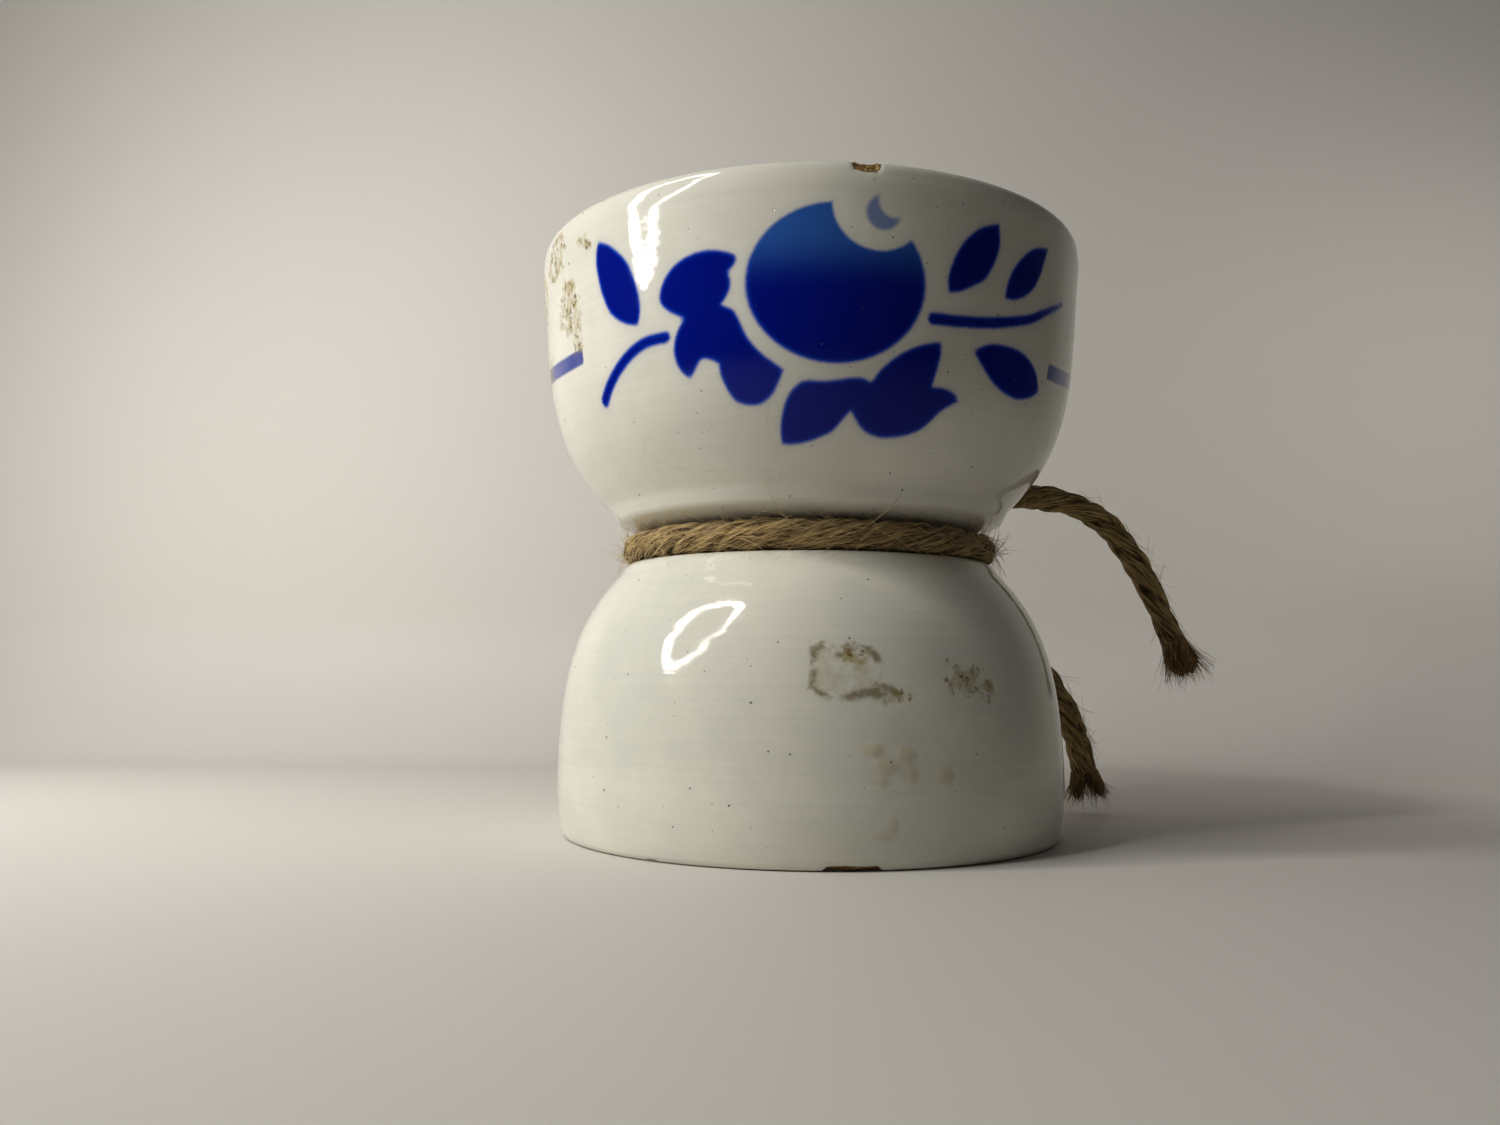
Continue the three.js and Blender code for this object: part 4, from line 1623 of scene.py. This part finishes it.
@dataclass(frozen=True)
class Camera:
    """A wide lens close in front of the pair, a little above the table and looking slightly up."""

    place: tuple[float, float, float] = (0.0, -260.6, 35.4)
    yaw: float = -2.95
    pitch: float = 5.48
    roll: float = 0.33
    lens: float = 27.264

    def build(self) -> None:
        """Makes the scene's camera: its axes are right, up and back, turned by roll about back."""
        yaw, pitch, roll = (math.radians(value) for value in (self.yaw, self.pitch, self.roll))
        level = Vector((math.sin(yaw), math.cos(yaw), 0.0))
        forward = level * math.cos(pitch) + Vector((0.0, 0.0, math.sin(pitch)))
        right = Vector((math.cos(yaw), -math.sin(yaw), 0.0))
        up = right.cross(forward)
        side = math.cos(roll) * right + math.sin(roll) * up
        top = math.cos(roll) * up - math.sin(roll) * right
        data = bpy.data.cameras.new("front_view")
        data.sensor_width = 36.0
        data.lens = self.lens
        data.clip_start = 0.01
        camera = bpy.data.objects.new("front_view", data)
        bpy.context.scene.collection.objects.link(camera)
        axes = Matrix((side, top, -forward)).transposed().to_4x4()
        camera.matrix_world = Matrix.Translation(Vector(self.place) * MM) @ axes
        bpy.context.scene.camera = camera


@dataclass(frozen=True)
class Studio:
    """A pale sheet swept up behind the pair, a small ring lamp at the front left, and soft fill."""

    ring_centre: tuple[float, float, float] = (-360.0, -253.0, 355.0)
    ring_axis: tuple[float, float] = (-49.0, -32.0)
    ring_radius: float = 173.0
    aim: tuple[float, float, float] = (0.0, 0.0, 75.0)
    ring_lamps: int = 32
    ring_width: float = 24.0
    ring_power: float = 1.79
    sheet_back: float = 215.0
    sheet_front: float = 750.0
    sheet_side: float = 1400.0
    sheet_height: float = 1200.0
    sheet_sweep: float = 60.0
    sheet_colour: Colour = (0.72, 0.70, 0.665, 1)
    sheet_lamps: tuple[tuple[Place, Place, float, float], ...] = (
        ((-290.0, 0.0, 125.0), (-110.0, 215.0, 60.0), 160.0, 0.115),
        ((290.0, 65.0, 150.0), (250.0, 215.0, 100.0), 200.0, 0.085),
    )
    light_colour: tuple[float, float, float] = (1.0, 0.975, 0.93)
    air: float = 0.045
    backdrop: float = 0.14

    def build(self) -> None:
        """Makes the sheet, the lamps and the light of the room."""
        self._sheet()
        centre, aim = Vector(self.ring_centre), Vector(self.aim)
        turn, rise = (math.radians(angle) for angle in self.ring_axis)
        axis = Vector((math.cos(rise) * math.cos(turn), math.cos(rise) * math.sin(turn), math.sin(rise)))
        side = UP.cross(axis).normalized()
        top = axis.cross(side)
        size = (2 * math.pi * self.ring_radius / self.ring_lamps * MM, self.ring_width * MM)
        for lamp in range(self.ring_lamps):
            angle = 2 * math.pi * lamp / self.ring_lamps
            out = math.cos(angle) * side + math.sin(angle) * top
            place = centre + out * self.ring_radius
            power = self.ring_power / self.ring_lamps
            self._lamp(f"ring_lamp_{lamp}", place, place - aim, axis.cross(out), size, power)
        for number, (place, lit, side_length, power) in enumerate(self.sheet_lamps):
            lamp, square = Vector(place), (side_length * MM, side_length * MM)
            self._lamp(f"sheet_lamp_{number}", lamp, lamp - Vector(lit), UP, square, power, seen=False)
        world = bpy.data.worlds.new("room")
        world.use_nodes = True
        background = world.node_tree.nodes["Background"]
        background.inputs["Color"].default_value = (1.0, 0.97, 0.93, 1)
        write = Shading(world.node_tree)
        looked_at = write.node("ShaderNodeLightPath").outputs["Is Camera Ray"]
        strength = write.math("MULTIPLY_ADD", looked_at, self.backdrop - self.air, self.air)
        world.node_tree.links.new(strength, background.inputs["Strength"])
        bpy.context.scene.world = world
        bpy.context.scene.view_settings.view_transform = "Standard"
        bpy.context.scene.view_settings.look = "Medium High Contrast"

    def _lamp(
        self, name: str, place: Vector, back: Vector, side: Vector, size: tuple[float, float], power: float,
        seen: bool = True,
    ) -> None:
        """One rectangular lamp in millimetres, which shines away from back.

        Args:
            name: The lamp's name.
            place: Its middle.
            back: The way that its back faces.
            side: A direction along its first side.
            size: Its sides in metres.
            power: Its power in watts.
            seen: Whether glossy surfaces mirror it.
        """
        data = bpy.data.lights.new(name, "AREA")
        data.shape = "RECTANGLE"
        data.size, data.size_y = size
        data.energy = power
        data.color = self.light_colour
        lamp = bpy.data.objects.new(name, data)
        lamp.visible_glossy = seen
        bpy.context.scene.collection.objects.link(lamp)
        normal = back.normalized()
        across = side.normalized()
        across = (across - normal * across.dot(normal)).normalized()
        axes = Matrix((across, normal.cross(across), normal)).transposed().to_4x4()
        lamp.matrix_world = Matrix.Translation(place * MM) @ axes

    def _sheet(self) -> None:
        """The sheet: level, then a quarter circle, then upright, the same all across.

        It can't be seen from behind, so that the pair shows from every side.
        """
        quarter = np.linspace(0, math.pi / 2, 24)
        bend = np.stack(
            [
                self.sheet_back - self.sheet_sweep + self.sheet_sweep * np.sin(quarter),
                self.sheet_sweep * (1 - np.cos(quarter)),
            ],
            axis=1,
        )
        profile = np.vstack([[-self.sheet_front, 0.0], bend, [self.sheet_back, self.sheet_height]])
        x = np.linspace(-self.sheet_side, self.sheet_side, 3)
        across = x[None] + 0 * profile[:, :1]
        points = np.stack([across, profile[:, :1] + 0 * across, profile[:, 1:] + 0 * across], axis=-1)
        row, column = np.meshgrid(np.arange(len(profile) - 1), np.arange(len(x) - 1), indexing="ij")
        corner = row * len(x) + column
        faces = np.stack([corner, corner + 1, corner + 1 + len(x), corner + len(x)], axis=-1)
        material, write, shader = new_material("matt_paper")
        shader.inputs["Roughness"].default_value = 0.6
        place = write.object_place()
        smudge = write.noise(place, 0.004, 4.0, 0.6)
        darker = tuple(0.93 * channel for channel in self.sheet_colour[:3]) + (1.0,)
        colour = write.mix(smudge, self.sheet_colour, darker)
        write.tree.links.new(colour, shader.inputs["Base Color"])
        behind = write.node("ShaderNodeNewGeometry").outputs["Backfacing"]
        write.tree.links.new(write.math("SUBTRACT", 1.0, behind), shader.inputs["Alpha"])
        make_object("paper_sheet", points.reshape(-1, 3), [faces.reshape(-1, 4)], material)


# ---- The whole pair ------------------------------------------------------------------------------

TURN_HAIRS = 2300
TURN_HAIR_LENGTH = 13.0
KNOT_HAIRS = 450
KNOT_HAIR_LENGTH = 9.0
END_HAIR_LENGTH = 11.0


@dataclass(frozen=True)
class FreeEnd:
    """A free end of the rope: its pieces, its CAD node, its loose hairs and its length in metres."""

    stretch: Stretch
    name: str
    node: str
    hairs: int
    length: float
    brushes: tuple[Brush, ...]


LONG_TIP = Brush(
    "rope_long_tip", "long_tail_fray", Stretch.LONG_TAIL,
    length=10.0, root_radius=2.9, tip_radius=5.0, aside=0.0, lean=0.0, fibres=620, seed=51,
)
SHORT_TIPS = tuple(
    Brush(
        f"rope_short_tip_{side}", f"short_tail_fray_{side}", Stretch.SHORT_TAIL,
        length=7.0, root_radius=1.9, tip_radius=1.9, aside=1.8 * way, lean=0.24 * way, fibres=300,
        seed=seed,
    )
    for side, way, seed in (("left", -1, 52), ("right", 1, 53))
)
LONG_END = FreeEnd(Stretch.LONG_TAIL, "rope_long_end", "long_tail", 650, LONG_END_LENGTH, (LONG_TIP,))
SHORT_END = FreeEnd(
    Stretch.SHORT_TAIL, "rope_short_end", "short_tail", 500, SHORT_END_LENGTH, SHORT_TIPS
)
TWISTED_JUTE = JuteFinish("twisted_jute", (0.07, 0.042, 0.014, 1), (0.68, 0.505, 0.24, 1), fuzz=0.2)
LOOSE_JUTE = JuteFinish("loose_jute", (0.34, 0.23, 0.10, 1), (0.76, 0.58, 0.30, 1), fuzz=0.3)
FRAYED_JUTE = JuteFinish("frayed_jute", (0.10, 0.06, 0.022, 1), (0.54, 0.365, 0.16, 1), fuzz=0.2)
DECORATED_WHITE_GLAZE = GlazeFinish(
    "decorated_white_glaze", white=(0.78, 0.765, 0.69, 1), cloudy_white=(0.70, 0.695, 0.62, 1),
    throwing_rings=0.02, speck_share=0.4, crazing_strength=0.13, decorated=True,
)
AGED_WHITE_GLAZE = GlazeFinish(
    "aged_white_glaze", white=(0.78, 0.76, 0.67, 1), cloudy_white=(0.68, 0.685, 0.62, 1),
    throwing_rings=0.3, speck_share=0.3, crazing_strength=0.09,
)
UPPER_BOWL = Bowl(
    "upper_bowl_glazed", "upper_bowl", Body.UPPER_BOWL, Slot.DECORATED_GLAZE, UPPER_SHAPE, UPPER_WEAR,
    foot_z=LOWER_SHAPE.height + BOWL_GAP, upright=True, throwing_depth=0.003, seed=3,
    stencil=FlowerStencil(),
)
LOWER_BOWL = Bowl(
    "lower_bowl_glazed", "lower_bowl", Body.LOWER_BOWL, Slot.AGED_GLAZE, LOWER_SHAPE, LOWER_WEAR,
    foot_z=LOWER_SHAPE.height, upright=False, throwing_depth=0.009, seed=8,
)


@dataclass
class Binding:
    """The jute rope on the pair: its turn, its knot, and its two free ends."""

    rope: Rope
    laid: bpy.types.Material
    loose: bpy.types.Material
    frayed: bpy.types.Material

    def free_end(self, free: FreeEnd) -> None:
        """Args:
            free: The free end.
        """
        line, stretch = self.rope.line, free.stretch
        piece = self.rope.stretch_piece(free.name, [stretch], (free.node,), self.laid)
        seed = 40 + stretch.value
        others = [
            self.rope.hairs(f"{free.name}_hairs", [stretch], free.hairs, END_HAIR_LENGTH, seed, self.loose)
        ]
        for brush in free.brushes:
            others += brush.build(self.rope, self.frayed)
        start, end = line.spans[stretch]
        if stretch is Stretch.LONG_TAIL:
            start, end = end, start
        path, *_ = line.at(np.linspace(start, end, 80))
        log.info("%s: %.1f mm along its middle", free.name, lengths_along(path)[-1])

    def fixed(self) -> None:
        """Makes the turn round the waist and the knot."""
        halves = [Stretch.LONG_HALF, Stretch.SHORT_HALF]
        self.rope.stretch_piece("rope_turn", [Stretch.TURN], ("waist_turn",), self.laid)
        self.rope.stretch_piece("rope_knot", halves, ("waist_knot",), self.laid)
        self.rope.hairs("rope_turn_hairs", [Stretch.TURN], TURN_HAIRS, TURN_HAIR_LENGTH, 31, self.loose)
        self.rope.hairs("rope_knot_hairs", halves, KNOT_HAIRS, KNOT_HAIR_LENGTH, 32, self.loose)
        log.info("rope_turn and rope_knot made")


def main() -> None:
    """Builds the camera, the rope with its free ends, the bowls and the studio."""
    logging.basicConfig(level=logging.INFO, format="%(name)s: %(message)s")
    Camera().build()
    effects = Effects()
    rope = Rope(RopeLine())
    laid, loose, frayed = (
        finish.material(effects) for finish in (TWISTED_JUTE, LOOSE_JUTE, FRAYED_JUTE)
    )
    binding = Binding(rope, laid, loose, frayed)
    for end in (LONG_END, SHORT_END):
        binding.free_end(end)
    binding.fixed()
    for bowl, glaze in ((UPPER_BOWL, DECORATED_WHITE_GLAZE), (LOWER_BOWL, AGED_WHITE_GLAZE)):
        bowl.build(glaze.material(effects))
        log.info("%s made", bowl.name)
    Studio().build()


if __name__ == "__main__":
    main()
